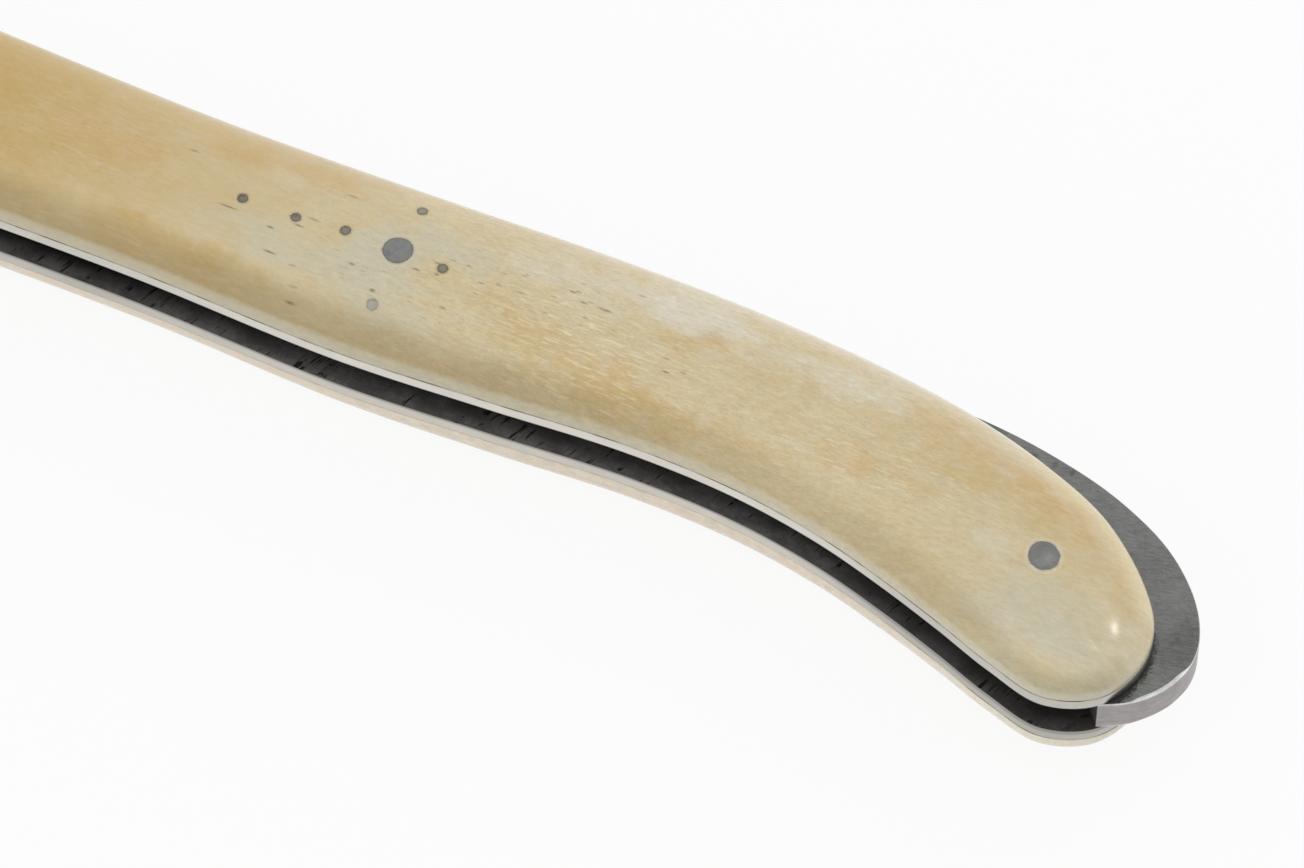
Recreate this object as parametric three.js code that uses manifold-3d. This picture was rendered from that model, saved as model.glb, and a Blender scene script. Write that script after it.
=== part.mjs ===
// Folding pocket knife with bone scales, lying on one side with its blade open.
// Millimetres. +X runs from the blade to the butt, +Y to the back of the handle, +Z out of the marked scale.
// All outlines are drawn about the centre pin, at the middle of the blade slot.

import * as THREE from 'three';
import { mergeVertices } from 'three/addons/utils/BufferGeometryUtils.js';
import Module from 'manifold-3d';

const wasm = await Module();
wasm.setup();

// Driving dimensions: the layers through the handle
const SLOT_WIDTH = 3.1;
const SLOT_SIDE_GAP = 0.05;
const LINER_THICKNESS = 1.05;
const SCALE_THICKNESS = 4.2;
const SCALE_WALL = 0.45;
const SCALE_BUTT_DROP = 1.7;
const LOWER_SCALE_BUTT_DROP = 0.9;
const SCALE_DROPS_FROM = 31.65;
const DOME_POWER = 2.5;
const CROWN_LAND = 0.22;

// Driving dimensions: the pins
const PIN_RADIUS = 1.07;
const PIN_FIT = 0.03;
const PIVOT_FIT = 0.05;
const LUG_FIT = 0.08;
const CROSS_PIN_RADIUS = 0.36;
const PIVOT = new THREE.Vector2(-51.6, -0.4);
const CENTRE_PIN = new THREE.Vector2(0, 0);
const REAR_PIN = new THREE.Vector2(51.8, -3.95);
const CROSS_PINS = [[-12.1, -0.55], [-7.9, -0.45], [-4.15, 0], [3.6, -0.1], [0, 4.05], [0.2, -4.65]];

// Driving dimensions: the handle outline from the front to the butt, each back point across from a belly one
const BACK_LINE = [
  [-54.1, 6.95], [-46.1, 7.45], [-35.6, 7.15], [-17.1, 6.65], [0.4, 7.05], [12.9, 7.5],
  [24.4, 7.5], [34.4, 6.9], [42.35, 5.8], [48.7, 4.15], [54.4, 1.75], [59.0, -2.25],
];
const BELLY_LINE = [
  [-54.1, -6.85], [-46.1, -7.4], [-35.6, -7.2], [-18.1, -6.95], [-1.6, -7.3], [9.8, -6.65],
  [20.4, -5.9], [28.9, -6.1], [35.9, -7.15], [41.4, -8.6], [46.4, -10.2], [51.1, -11.85],
];
const BUTT_END = [[60.75, -5.15], [60.85, -8.25], [59.1, -11.35], [55.5, -12.85]];
const FRONT_END = [[-57.3, -4.95], [-58.8, 0.05], [-57.3, 5.15]];

// Driving dimensions: the spring, in the plane of the slot
const NOSE_LENGTH = 0.8;
const NOSE_GAP = 0.1;
const LUG_RADIUS = 2.35;
const SPRING_TRAVEL = 0.5;
const SPRING_LEAVES_BACK = 24.4;
const TAIL_OUTSIDE = [
  [42.6, 7.3], [48.9, 6.45], [54.0, 5.05], [58.8, 2.65], [62.05, -0.45], [63.5, -3.15],
  [63.8, -5.15], [63.3, -7.35], [62.1, -9.15], [60.8, -10.25], [59.1, -11.2],
];
const SPRING_INSIDE = [
  [57.35, -8.9], [55.3, -7.45], [51.9, -6.85], [48.5, -5.45], [44.9, -2.45], [39.9, 0.65], [32.9, 2.45],
  [21.9, 3.05],
];
const SPRING_UNDERSIDE_AT_LUG = 3.1;
const LUG_SHOULDER = 2.5;
const THUMB_PLATE_LENGTH = 14;
const THUMB_PLATE_WIDTH = 5.6;
const THUMB_PLATE_HEIGHT = 1.6;
const THUMB_PLATE_GAP = 0.3;
const THUMB_PLATE_NECK_INSET = 1.7;

// Driving dimensions: the blade, as distances in front of the pivot and heights above it
const TANG_RADIUS = 4.2;
const BLADE_TIP = [106.5, 0.9];
const BLADE_SPINE = [[14, 6.95], [35, 6.6], [55, 6.0], [75, 4.8], [92, 3.0]];
const BLADE_EDGE = [[14, -4.5], [35, -2.95], [55, -1.8], [75, -1.25], [92, -0.6]];
const SPINE_AT_SHOULDER = 7.1;
const RICASSO_LENGTH = 11;
const EDGE_THICKNESS = 0.24;
const TIP_THICKNESS = 0.8;
const NAIL_NICK = { middle: [32.5, 4.4], length: 13, height: 1.1, depth: 0.5, inset: 0.35, slope: 0.03 };

// Facets of round and curved shapes
const PIN_SIDES = 32;
const CROSS_PIN_SIDES = 16;
const STEPS = 3;
const BLADE_STEPS = 4;
const LEAF_SIDES = 28;
const NICK_SIDES = 24;
const SHORTEST_FACET = 0.5;
const DOME_RINGS = [1, 0.985, 0.94, 0.87, 0.76, 0.6, 0.42, CROWN_LAND];

const steelThickness = SLOT_WIDTH - 2 * SLOT_SIDE_GAP;
const linerFoot = SLOT_WIDTH / 2;
const scaleFoot = linerFoot + LINER_THICKNESS;
const handleTop = scaleFoot + SCALE_THICKNESS;

// Materials
const bone = () => new THREE.MeshStandardMaterial({ color: 0xdcc8a0, roughness: 0.32, metalness: 0 });
const brightSteel = () => new THREE.MeshStandardMaterial({ color: 0xc8c6c3, roughness: 0.3, metalness: 1 });
const satinSteel = () => new THREE.MeshStandardMaterial({ color: 0x8d8e90, roughness: 0.42, metalness: 1 });
const pinSteel = () => new THREE.MeshStandardMaterial({ color: 0x9a9b9e, roughness: 0.35, metalness: 1 });

// Turns a closed geometry into a solid that can be cut and joined.
function solidOf(geometry) {
  geometry.deleteAttribute('normal');
  geometry.deleteAttribute('uv');
  const merged = mergeVertices(geometry, 1e-5);
  const mesh = new wasm.Mesh({
    numProp: 3,
    vertProperties: new Float32Array(merged.attributes.position.array),
    triVerts: new Uint32Array(merged.index.array),
  });
  return new wasm.Manifold(mesh);
}

// Turns a solid back into a geometry.
function geometryOf(solid) {
  const mesh = solid.getMesh();
  const geometry = new THREE.BufferGeometry();
  geometry.setAttribute('position', new THREE.BufferAttribute(mesh.vertProperties, 3));
  geometry.setIndex(new THREE.BufferAttribute(mesh.triVerts, 1));
  geometry.computeVertexNormals();
  return geometry;
}

// A smooth curve through flat points, which closes on itself where asked.
function smooth(points, closed = false) {
  const places = points.map(([x, y]) => new THREE.Vector3(x, y, 0));
  return new THREE.CatmullRomCurve3(places, closed, 'centripetal');
}

// The points of a smooth curve, a few steps for each stretch between the given ones.
function along(points, steps = STEPS) {
  const curve = smooth(points);
  return curve.getPoints((points.length - 1) * steps).map((p) => new THREE.Vector2(p.x, p.y));
}

// A flat plate of an outline between two heights.
function plate(outline, low, high) {
  const geometry = new THREE.ExtrudeGeometry(new THREE.Shape(outline), {
    depth: high - low,
    bevelEnabled: false,
  });
  geometry.translate(0, 0, low);
  return solidOf(geometry);
}

// An upright round bar at a place on the plan.
function upright(spot, radius, low, high, sides = PIN_SIDES) {
  const geometry = new THREE.CylinderGeometry(radius, radius, high - low, sides);
  geometry.rotateX(Math.PI / 2);
  geometry.translate(spot.x, spot.y, (low + high) / 2);
  return solidOf(geometry);
}

function box(lowX, lowY, lowZ, highX, highY, highZ) {
  const geometry = new THREE.BoxGeometry(highX - lowX, highY - lowY, highZ - lowZ);
  geometry.translate((lowX + highX) / 2, (lowY + highY) / 2, (lowZ + highZ) / 2);
  return solidOf(geometry);
}

// The handle outline runs along the back, round the butt, along the belly and round the front.
const outlineKnots = [...BACK_LINE, ...BUTT_END, ...[...BELLY_LINE].reverse(), ...FRONT_END];
const outlineCurve = smooth(outlineKnots, true);
const outline = outlineCurve.getPoints(outlineKnots.length * STEPS).slice(0, -1);
const sideSteps = (BACK_LINE.length - 1) * STEPS;
const bellyStart = (BACK_LINE.length + BUTT_END.length) * STEPS;

// The crest of the handle: halfway between each back point and the belly point across from it.
function crestPoint(index) {
  const across = bellyStart + sideSteps - index;
  return outline[index].clone().add(outline[across]).multiplyScalar(0.5);
}

// Which crest point an outline point leans towards. Those round the two ends share the last one.
function crestIndex(index) {
  if (index <= sideSteps) return index;
  if (index < bellyStart) return sideSteps;
  return Math.max(bellyStart + sideSteps - index, 0);
}

// The point of a row that lies nearest to a distance along the handle.
function nearest(points, distance) {
  const misses = points.map((point) => Math.abs(point.x - distance));
  return misses.indexOf(Math.min(...misses));
}

const back = outline.slice(0, sideSteps + 1);
const crest = back.map((point, index) => crestPoint(index));
const dropStart = nearest(crest, SCALE_DROPS_FROM);
const tailStart = nearest(back, SPRING_LEAVES_BACK);

// The dome drops towards the butt, ever faster, over the last stretch of the handle.
function domeHeight(index, buttDrop) {
  const share = Math.max(crestIndex(index) - dropStart, 0) / (sideSteps - dropStart);
  return SCALE_THICKNESS - SCALE_WALL - buttDrop * share * share;
}

// How high the dome stands at a share of the way from the crest to the edge.
function domeRise(reach) {
  return Math.pow(1 - Math.pow(reach, DOME_POWER), 1 / DOME_POWER);
}

// The triangles that close a ring: strips from back to belly, and a fan at the butt and at the front.
function lid() {
  const triangles = [];
  for (let index = 0; index < sideSteps; index += 1) {
    const across = bellyStart + sideSteps - index;
    triangles.push([index, index + 1, across], [index + 1, across - 1, across]);
  }
  for (let index = sideSteps + 1; index < bellyStart; index += 1) {
    triangles.push([sideSteps, index, index + 1]);
  }
  for (let index = bellyStart + sideSteps; index + 1 < outline.length; index += 1) {
    triangles.push([0, index, index + 1]);
  }
  return triangles;
}

// A domed slab on the handle outline: rings of the outline drawn in towards the crest, each one higher.
function domedSlab(foot, buttDrop) {
  const positions = [];
  const triangles = [];
  const count = outline.length;
  const ringAt = (height, reach) => {
    outline.forEach((point, index) => {
      const place = crest[crestIndex(index)].clone().lerp(point, reach);
      positions.push(place.x, place.y, height(index));
    });
  };
  ringAt(() => foot, 1);
  for (const reach of DOME_RINGS) {
    const rise = domeRise(reach) / domeRise(CROWN_LAND);
    ringAt((index) => foot + SCALE_WALL + domeHeight(index, buttDrop) * rise, reach);
  }
  const rings = DOME_RINGS.length + 1;
  for (let ring = 0; ring + 1 < rings; ring += 1) {
    for (let index = 0; index < count; index += 1) {
      const next = (index + 1) % count;
      const a = ring * count + index;
      const b = ring * count + next;
      triangles.push(a, b + count, b, a, a + count, b + count);
    }
  }
  for (const [a, b, c] of lid()) {
    const top = (rings - 1) * count;
    triangles.push(a, b, c, top + a, top + c, top + b);
  }
  const geometry = new THREE.BufferGeometry();
  geometry.setAttribute('position', new THREE.Float32BufferAttribute(positions, 3));
  geometry.setIndex(triangles);
  return solidOf(geometry);
}

const mirrored = (solid) => solid.mirror([0, 0, 1]);
const through = handleTop + 1;
const mainPins = [PIVOT, CENTRE_PIN, REAR_PIN];
const crossPins = CROSS_PINS.map(([x, y]) => new THREE.Vector2(x, y));
const slab = domedSlab(scaleFoot, SCALE_BUTT_DROP);
const lowerSlab = domedSlab(scaleFoot, LOWER_SCALE_BUTT_DROP);

// Every scale and liner is drilled for the three main pins.
function drilled(solid) {
  const holes = mainPins.map((spot) => upright(spot, PIN_RADIUS + PIN_FIT, -through, through));
  return holes.reduce((rest, hole) => rest.subtract(hole), solid);
}

// The marked scale is also drilled for the cross.
function markedScale() {
  const radius = CROSS_PIN_RADIUS + PIN_FIT;
  const holes = crossPins.map((spot) => upright(spot, radius, -through, through, CROSS_PIN_SIDES));
  return holes.reduce((rest, hole) => rest.subtract(hole), drilled(slab));
}

function liner() {
  const flat = outline.map((point) => new THREE.Vector2(point.x, point.y));
  return drilled(plate(flat, linerFoot, scaleFoot));
}

// Pins are ground flush with the domes that they come through.
function mainPin(spot) {
  const shank = upright(spot, PIN_RADIUS, -scaleFoot, scaleFoot);
  const bar = upright(spot, PIN_RADIUS, scaleFoot, through);
  return shank.add(bar.intersect(slab)).add(mirrored(bar.intersect(lowerSlab)));
}

function crossPin(spot) {
  return upright(spot, CROSS_PIN_RADIUS, scaleFoot, through, CROSS_PIN_SIDES).intersect(slab);
}

// Spring: flush with the back of the liners, then out round the butt in a crescent tail.
const noseX = PIVOT.x - NOSE_LENGTH;
const noseUnderside = PIVOT.y + TANG_RADIUS + NOSE_GAP;

// The back of the handle as far as the tail, starting at the nose.
function springBack() {
  const points = back.slice(0, tailStart + 1).filter((point) => point.x > noseX + SHORTEST_FACET);
  const height = back.find((point) => point.x > noseX).y;
  return [new THREE.Vector2(noseX, height), ...points.map((point) => new THREE.Vector2(point.x, point.y))];
}

// The lug hangs below the spring round the centre pin.
function springLug() {
  const half = steelThickness / 2;
  const left = CENTRE_PIN.x - LUG_RADIUS;
  const right = CENTRE_PIN.x + LUG_RADIUS;
  const neck = box(left, CENTRE_PIN.y, -half, right, SPRING_UNDERSIDE_AT_LUG + LUG_FIT, half);
  return upright(CENTRE_PIN, LUG_RADIUS, -half, half).add(neck);
}

// A plain domed leaf on the nose, for the thumb, clear of the liners and scales under it.
function thumbPlate() {
  const from = noseX;
  const middle = from + THUMB_PLATE_LENGTH / 2;
  const covered = outline.filter((point) => point.x > from && point.x < from + THUMB_PLATE_LENGTH);
  const foot = Math.max(...covered.map((point) => point.y)) + THUMB_PLATE_GAP;
  const leaf = new THREE.SphereGeometry(1, LEAF_SIDES, LEAF_SIDES / 2);
  leaf.scale(THUMB_PLATE_LENGTH / 2, THUMB_PLATE_HEIGHT, THUMB_PLATE_WIDTH / 2);
  leaf.translate(middle, foot, 0);
  const wide = THUMB_PLATE_WIDTH;
  const above = box(from - wide, foot, -wide, from + 2 * THUMB_PLATE_LENGTH, foot + wide, wide);
  const half = steelThickness / 2;
  const neckFrom = from + THUMB_PLATE_NECK_INSET;
  const neckTo = from + THUMB_PLATE_LENGTH - THUMB_PLATE_NECK_INSET;
  const neck = box(neckFrom, (noseUnderside + foot) / 2, -half, neckTo, foot + THUMB_PLATE_GAP, half);
  return solidOf(leaf).intersect(above).add(neck);
}

function backSpring() {
  const tail = along([[back[tailStart].x, back[tailStart].y], ...TAIL_OUTSIDE]).slice(1);
  const behindLug = [CENTRE_PIN.x + LUG_RADIUS + LUG_SHOULDER, SPRING_UNDERSIDE_AT_LUG];
  const inside = along([...SPRING_INSIDE, behindLug]);
  const aheadOfLug = new THREE.Vector2(CENTRE_PIN.x - LUG_RADIUS - LUG_SHOULDER, SPRING_UNDERSIDE_AT_LUG);
  const nose = new THREE.Vector2(noseX, noseUnderside);
  const shape = [...springBack(), ...tail, ...inside, aheadOfLug, nose].reverse();
  let solid = plate(shape, -steelThickness / 2, steelThickness / 2);
  solid = solid.add(springLug()).add(thumbPlate());
  solid = solid.subtract(springSlot());
  return solid.subtract(upright(REAR_PIN, PIN_RADIUS + PIVOT_FIT, -through, through));
}

// The centre pin's hole is long enough for the spring to lift off the tang, by its travel at the pin.
function springSlot() {
  const lift = THREE.MathUtils.degToRad(SPRING_TRAVEL) * (REAR_PIN.x - CENTRE_PIN.x);
  const radius = PIN_RADIUS + LUG_FIT;
  const lower = new THREE.Vector2(CENTRE_PIN.x, CENTRE_PIN.y - lift);
  const top = upright(CENTRE_PIN, radius, -through, through);
  const bottom = upright(lower, radius, -through, through);
  const left = CENTRE_PIN.x - radius;
  const right = CENTRE_PIN.x + radius;
  const middle = box(left, lower.y, -through, right, CENTRE_PIN.y, through);
  return top.add(bottom).add(middle);
}

// Blade: stations run forward from the pivot. Each section is a wedge from the spine to the edge.
const onBlade = ([forward, height]) => [PIVOT.x - forward, PIVOT.y + height];

function bladeWedge() {
  const whole = (line) => [[RICASSO_LENGTH, line[0][1]], ...line, BLADE_TIP].map(onBlade);
  const spine = along(whole(BLADE_SPINE), BLADE_STEPS);
  const edge = along(whole(BLADE_EDGE), BLADE_STEPS);
  const last = spine.length - 1;
  const positions = [];
  spine.forEach((top, station) => {
    const share = station / last;
    const half = THREE.MathUtils.lerp(steelThickness, TIP_THICKNESS, share * share) / 2;
    const thin = EDGE_THICKNESS / 2;
    const low = edge[station];
    const narrow = station === last ? EDGE_THICKNESS : 0;
    positions.push(top.x, top.y + narrow, half, top.x, top.y + narrow, -half);
    positions.push(low.x, low.y - narrow, -thin, low.x, low.y - narrow, thin);
  });
  const triangles = [0, 2, 1, 0, 3, 2];
  for (let station = 0; station < last; station += 1) {
    for (let side = 0; side < 4; side += 1) {
      const a = station * 4 + side;
      const b = station * 4 + ((side + 1) % 4);
      triangles.push(a, b, b + 4, a, b + 4, a + 4);
    }
  }
  const end = last * 4;
  triangles.push(end, end + 1, end + 2, end, end + 2, end + 3);
  const geometry = new THREE.BufferGeometry();
  geometry.setAttribute('position', new THREE.Float32BufferAttribute(positions, 3));
  geometry.setIndex(triangles);
  return solidOf(geometry);
}

// Tang: a round cam on the pivot, with the shoulder that meets the end of the spring.
function tang() {
  const half = steelThickness / 2;
  const cam = upright(PIVOT, TANG_RADIUS, -half, half, 2 * PIN_SIDES);
  const shoulder = NOSE_LENGTH + NOSE_GAP;
  const ricasso = [
    [shoulder, 0],
    [shoulder, SPINE_AT_SHOULDER],
    [RICASSO_LENGTH, BLADE_SPINE[0][1]],
    [RICASSO_LENGTH, BLADE_EDGE[0][1]],
    [shoulder, -TANG_RADIUS],
  ].map(onBlade).map(([x, y]) => new THREE.Vector2(x, y));
  return cam.add(plate(ricasso, -half, half));
}

// Nail nick: a shallow groove below the spine, on the marked side.
function nailNick() {
  const groove = new THREE.SphereGeometry(1, NICK_SIDES, NICK_SIDES / 2);
  groove.scale(NAIL_NICK.length / 2, NAIL_NICK.height / 2, NAIL_NICK.depth);
  groove.rotateZ(NAIL_NICK.slope);
  const [x, y] = onBlade(NAIL_NICK.middle);
  groove.translate(x, y, steelThickness / 2 - NAIL_NICK.inset);
  return solidOf(groove);
}

function blade() {
  const bore = upright(PIVOT, PIN_RADIUS + PIVOT_FIT, -through, through);
  return bladeWedge().add(tang()).subtract(nailNick()).subtract(bore);
}

const knife = new THREE.Group();

function addPiece(name, solid, material) {
  const mesh = new THREE.Mesh(geometryOf(solid), material);
  mesh.name = name;
  knife.add(mesh);
}

addPiece('scale_upper', markedScale(), bone());
addPiece('scale_lower', mirrored(drilled(lowerSlab)), bone());
addPiece('liner_upper', liner(), brightSteel());
addPiece('liner_lower', mirrored(liner()), brightSteel());
addPiece('back_spring', backSpring(), satinSteel());
addPiece('blade', blade(), satinSteel());
addPiece('pivot_pin', mainPin(PIVOT), pinSteel());
addPiece('centre_pin', mainPin(CENTRE_PIN), pinSteel());
addPiece('rear_pin', mainPin(REAR_PIN), pinSteel());
crossPins.forEach((spot, index) => {
  addPiece(`cross_pin_${index + 1}`, crossPin(spot), pinSteel());
});

// The knife lies on its lower scale, and its origin is under the middle of its whole length and width.
const extent = new THREE.Box3().setFromObject(knife);
const middle = extent.getCenter(new THREE.Vector3());
knife.position.set(-middle.x, -middle.y, -extent.min.z);

export default knife;
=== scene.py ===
import math

import bmesh
import bpy
import numpy as np
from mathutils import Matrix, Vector


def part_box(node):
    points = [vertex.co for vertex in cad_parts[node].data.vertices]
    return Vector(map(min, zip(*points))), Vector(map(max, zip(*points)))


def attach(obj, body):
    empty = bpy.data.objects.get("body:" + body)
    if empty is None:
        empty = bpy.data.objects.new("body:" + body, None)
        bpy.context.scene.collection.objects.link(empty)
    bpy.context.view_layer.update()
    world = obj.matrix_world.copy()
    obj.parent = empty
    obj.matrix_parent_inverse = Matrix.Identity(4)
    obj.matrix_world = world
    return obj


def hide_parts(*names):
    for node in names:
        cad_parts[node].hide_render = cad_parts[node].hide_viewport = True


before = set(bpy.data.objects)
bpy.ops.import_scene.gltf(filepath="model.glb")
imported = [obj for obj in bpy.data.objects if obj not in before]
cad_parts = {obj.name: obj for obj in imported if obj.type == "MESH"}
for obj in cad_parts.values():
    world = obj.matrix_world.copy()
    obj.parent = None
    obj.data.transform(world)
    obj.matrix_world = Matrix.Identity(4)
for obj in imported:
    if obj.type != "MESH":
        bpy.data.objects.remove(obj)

bl_info = {
    "name": "Folding pocket knife",
    "version": (1, 0, 0),
    "blender": (4, 5, 0),
    "location": "3D View > Sidebar > Knife",
    "description": "Fine surfaces, finishes and a plain studio for a folding knife with bone scales",
    "category": "Add Mesh",
}

MM = 0.001


def middle_of(node):
    low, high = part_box(node)
    return (low + high) / 2


def in_plan(node):
    """The middle of a node in the plan of the knife, in millimetres from the centre pin."""
    offset = (middle_of(node) - CENTRE) / MM
    return offset.x, offset.y


def radius_of(pin):
    low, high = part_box(pin)
    return (high.x - low.x) / 2 / MM


def level_of(node, end):
    """The height of a node's foot, end nought, or of its head, end one, above the middle of the knife."""
    return (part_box(node)[end].z - CENTRE.z) / MM


# Places and sizes taken from the frame. All that follows is drawn in millimetres from the centre pin.
CENTRE = middle_of("centre_pin")
PIVOT = in_plan("pivot_pin")
REAR_PIN = in_plan("rear_pin")
MAIN_PINS = [PIVOT, (0.0, 0.0), REAR_PIN]
CROSS_PINS = [f"cross_pin_{number}" for number in range(1, 7)]
CROSS_SPOTS = [in_plan(node) for node in CROSS_PINS]
PIN_RADIUS = radius_of("rear_pin")
CROSS_PIN_RADIUS = radius_of("cross_pin_1")
LINER_FOOT = level_of("liner_upper", 0)
SCALE_FOOT = level_of("liner_upper", 1)
HANDLE_TOP = level_of("scale_upper", 1)
STEEL_HALF = (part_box("blade")[1].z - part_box("blade")[0].z) / 2 / MM
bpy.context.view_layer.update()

# Room round the pins: holes are wider than the pins of the CAD model, and the finer pins a little wider too.
# FOOT_INSET keeps the feet of the main pins just inside the bone.
HOLE_ROOM = 0.02
TURNING_ROOM = 0.05
SLOT_ROOM = 0.08
PIN_SWELL = 0.01
FOOT_INSET = 0.012

# The handle outline from the front to the butt, each back point across from a belly point
BACK_LINE = [
    (-54.1, 6.95), (-46.1, 7.45), (-35.6, 7.15), (-17.1, 6.65), (0.4, 7.05), (12.9, 7.5),
    (24.4, 7.5), (34.4, 6.9), (42.35, 5.8), (48.7, 4.15), (54.4, 1.75), (59.0, -2.25),
]
BELLY_LINE = [
    (-54.1, -6.85), (-46.1, -7.4), (-35.6, -7.2), (-18.1, -6.95), (-1.6, -7.3), (9.8, -6.65),
    (20.4, -5.9), (28.9, -6.1), (35.9, -7.15), (41.4, -8.6), (46.4, -10.2), (51.1, -11.85),
]
BUTT_END = [(60.75, -5.15), (60.85, -8.25), (59.1, -11.35), (55.5, -12.85)]
FRONT_END = [(-57.3, -4.95), (-58.8, 0.05), (-57.3, 5.15)]

# The dome of the scales. LOWER_FRONT says how much slimmer the lower flank is, and between which places.
DOME_POWER = 2.5
SCALE_WALL = 0.45
BUTT_DROP = 1.7
LOWER_BUTT_DROP = 1.2
DROPS_FROM_PAIR = 7
BUTT_FOLLOWS = 0.4
CREST_EASE = 1.0
LOWER_FRONT = {"slimmer": 0.35, "from": 12.0, "full": -12.0}
UPPER_DOME = (BUTT_DROP, 0.0)
LOWER_DOME = (LOWER_BUTT_DROP, LOWER_FRONT["slimmer"])

# The spring
NOSE_X = PIVOT[0] - 0.8
NOSE_UNDERSIDE = PIVOT[1] + 4.3
TAIL_STARTS = 24.4
TAIL_OUTSIDE = [
    (42.6, 7.3), (48.9, 6.45), (54.0, 5.05), (58.8, 2.65), (62.05, -0.45), (63.5, -3.15),
    (63.8, -5.15), (63.3, -7.35), (62.1, -9.15), (60.8, -10.25), (59.1, -11.2),
]
SPRING_INSIDE = [
    (4.85, 3.1), (21.9, 3.05), (32.9, 2.45), (39.9, 0.65), (44.9, -2.45), (48.5, -5.45),
    (51.9, -6.85), (55.3, -7.45), (57.35, -8.9),
]
LUG_RADIUS = 2.35
LUG_TOP = 3.1
LUG_SLOT_DROP = 0.45
POLISHED_CORNER = {"middle": (62.9, -8.15), "reach": 2.9, "fade": 1.4}
THUMB_LEAF = {"length": 14.0, "width": 5.6, "height": 1.6, "gap": 0.3, "neck_inset": 1.7}

# The blade, as distances in front of the pivot and heights above it
TANG_RADIUS = 4.2
SHOULDER = 0.9
SHOULDER_HEIGHT = 7.1
RICASSO_LENGTH = 11.0
BLADE_TIP = (106.5, 0.9)
BLADE_SPINE = [(11, 6.95), (14, 6.95), (35, 6.6), (55, 6.0), (75, 4.8), (92, 3.0), BLADE_TIP]
BLADE_EDGE = [(11, -4.5), (14, -4.5), (35, -2.95), (55, -1.8), (75, -1.25), (92, -0.6), BLADE_TIP]
NAIL_NICK = {"middle": (32.5, 4.4), "length": 13.0, "height": 1.1, "depth": 0.5, "inset": 0.35}


def hexed(code):
    """The linear colour of a six digit screen colour: each part divided by 255 and raised to about 2.4."""
    parts = np.array([code >> 16 & 255, code >> 8 & 255, code & 255]) / 255
    linear = np.where(parts <= 0.04045, parts / 12.92, ((parts + 0.055) / 1.055) ** 2.4)
    return tuple(float(part) for part in linear)


def tint(name, description, code):
    return bpy.props.FloatVectorProperty(
        name=name, description=description, subtype="COLOR", size=3, min=0, max=1, default=hexed(code)
    )


def length(name, description, default):
    return bpy.props.FloatProperty(
        name=name, description=description, subtype="DISTANCE", unit="LENGTH", min=0, default=default * MM
    )


def degrees(name, description, default):
    return bpy.props.FloatProperty(
        name=name, description=description, subtype="ANGLE", default=math.radians(default)
    )


def share(name, description, default, high=1.0):
    return bpy.props.FloatProperty(name=name, description=description, min=0, max=high, default=default)


def power(name, description, default):
    return bpy.props.FloatProperty(name=name, description=description, unit="POWER", min=0, default=default)


class KnifeShapes(bpy.types.PropertyGroup):
    fineness: bpy.props.IntProperty(
        name="Fineness", description="Steps along each stretch of an outline", min=4, max=24, default=16
    )
    scale_edge: length("Scale edge", "Rounding where a bone scale meets its liner", 0.1)
    liner_edge: length("Liner edge", "Rounding along the edges of the liners", 0.07)
    spring_edge: length("Spring edge", "Rounding along the edges of the spring", 0.09)
    corner_edge: length("Corner edge", "Rounding where the tail is polished by the pocket", 0.36)
    pin_edge: length("Pin edge", "Rounding round the head of a pin", 0.03)
    rear_crown: length("Rear crown", "How far the middle of the rear pin stands above the bone", 0.14)


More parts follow.
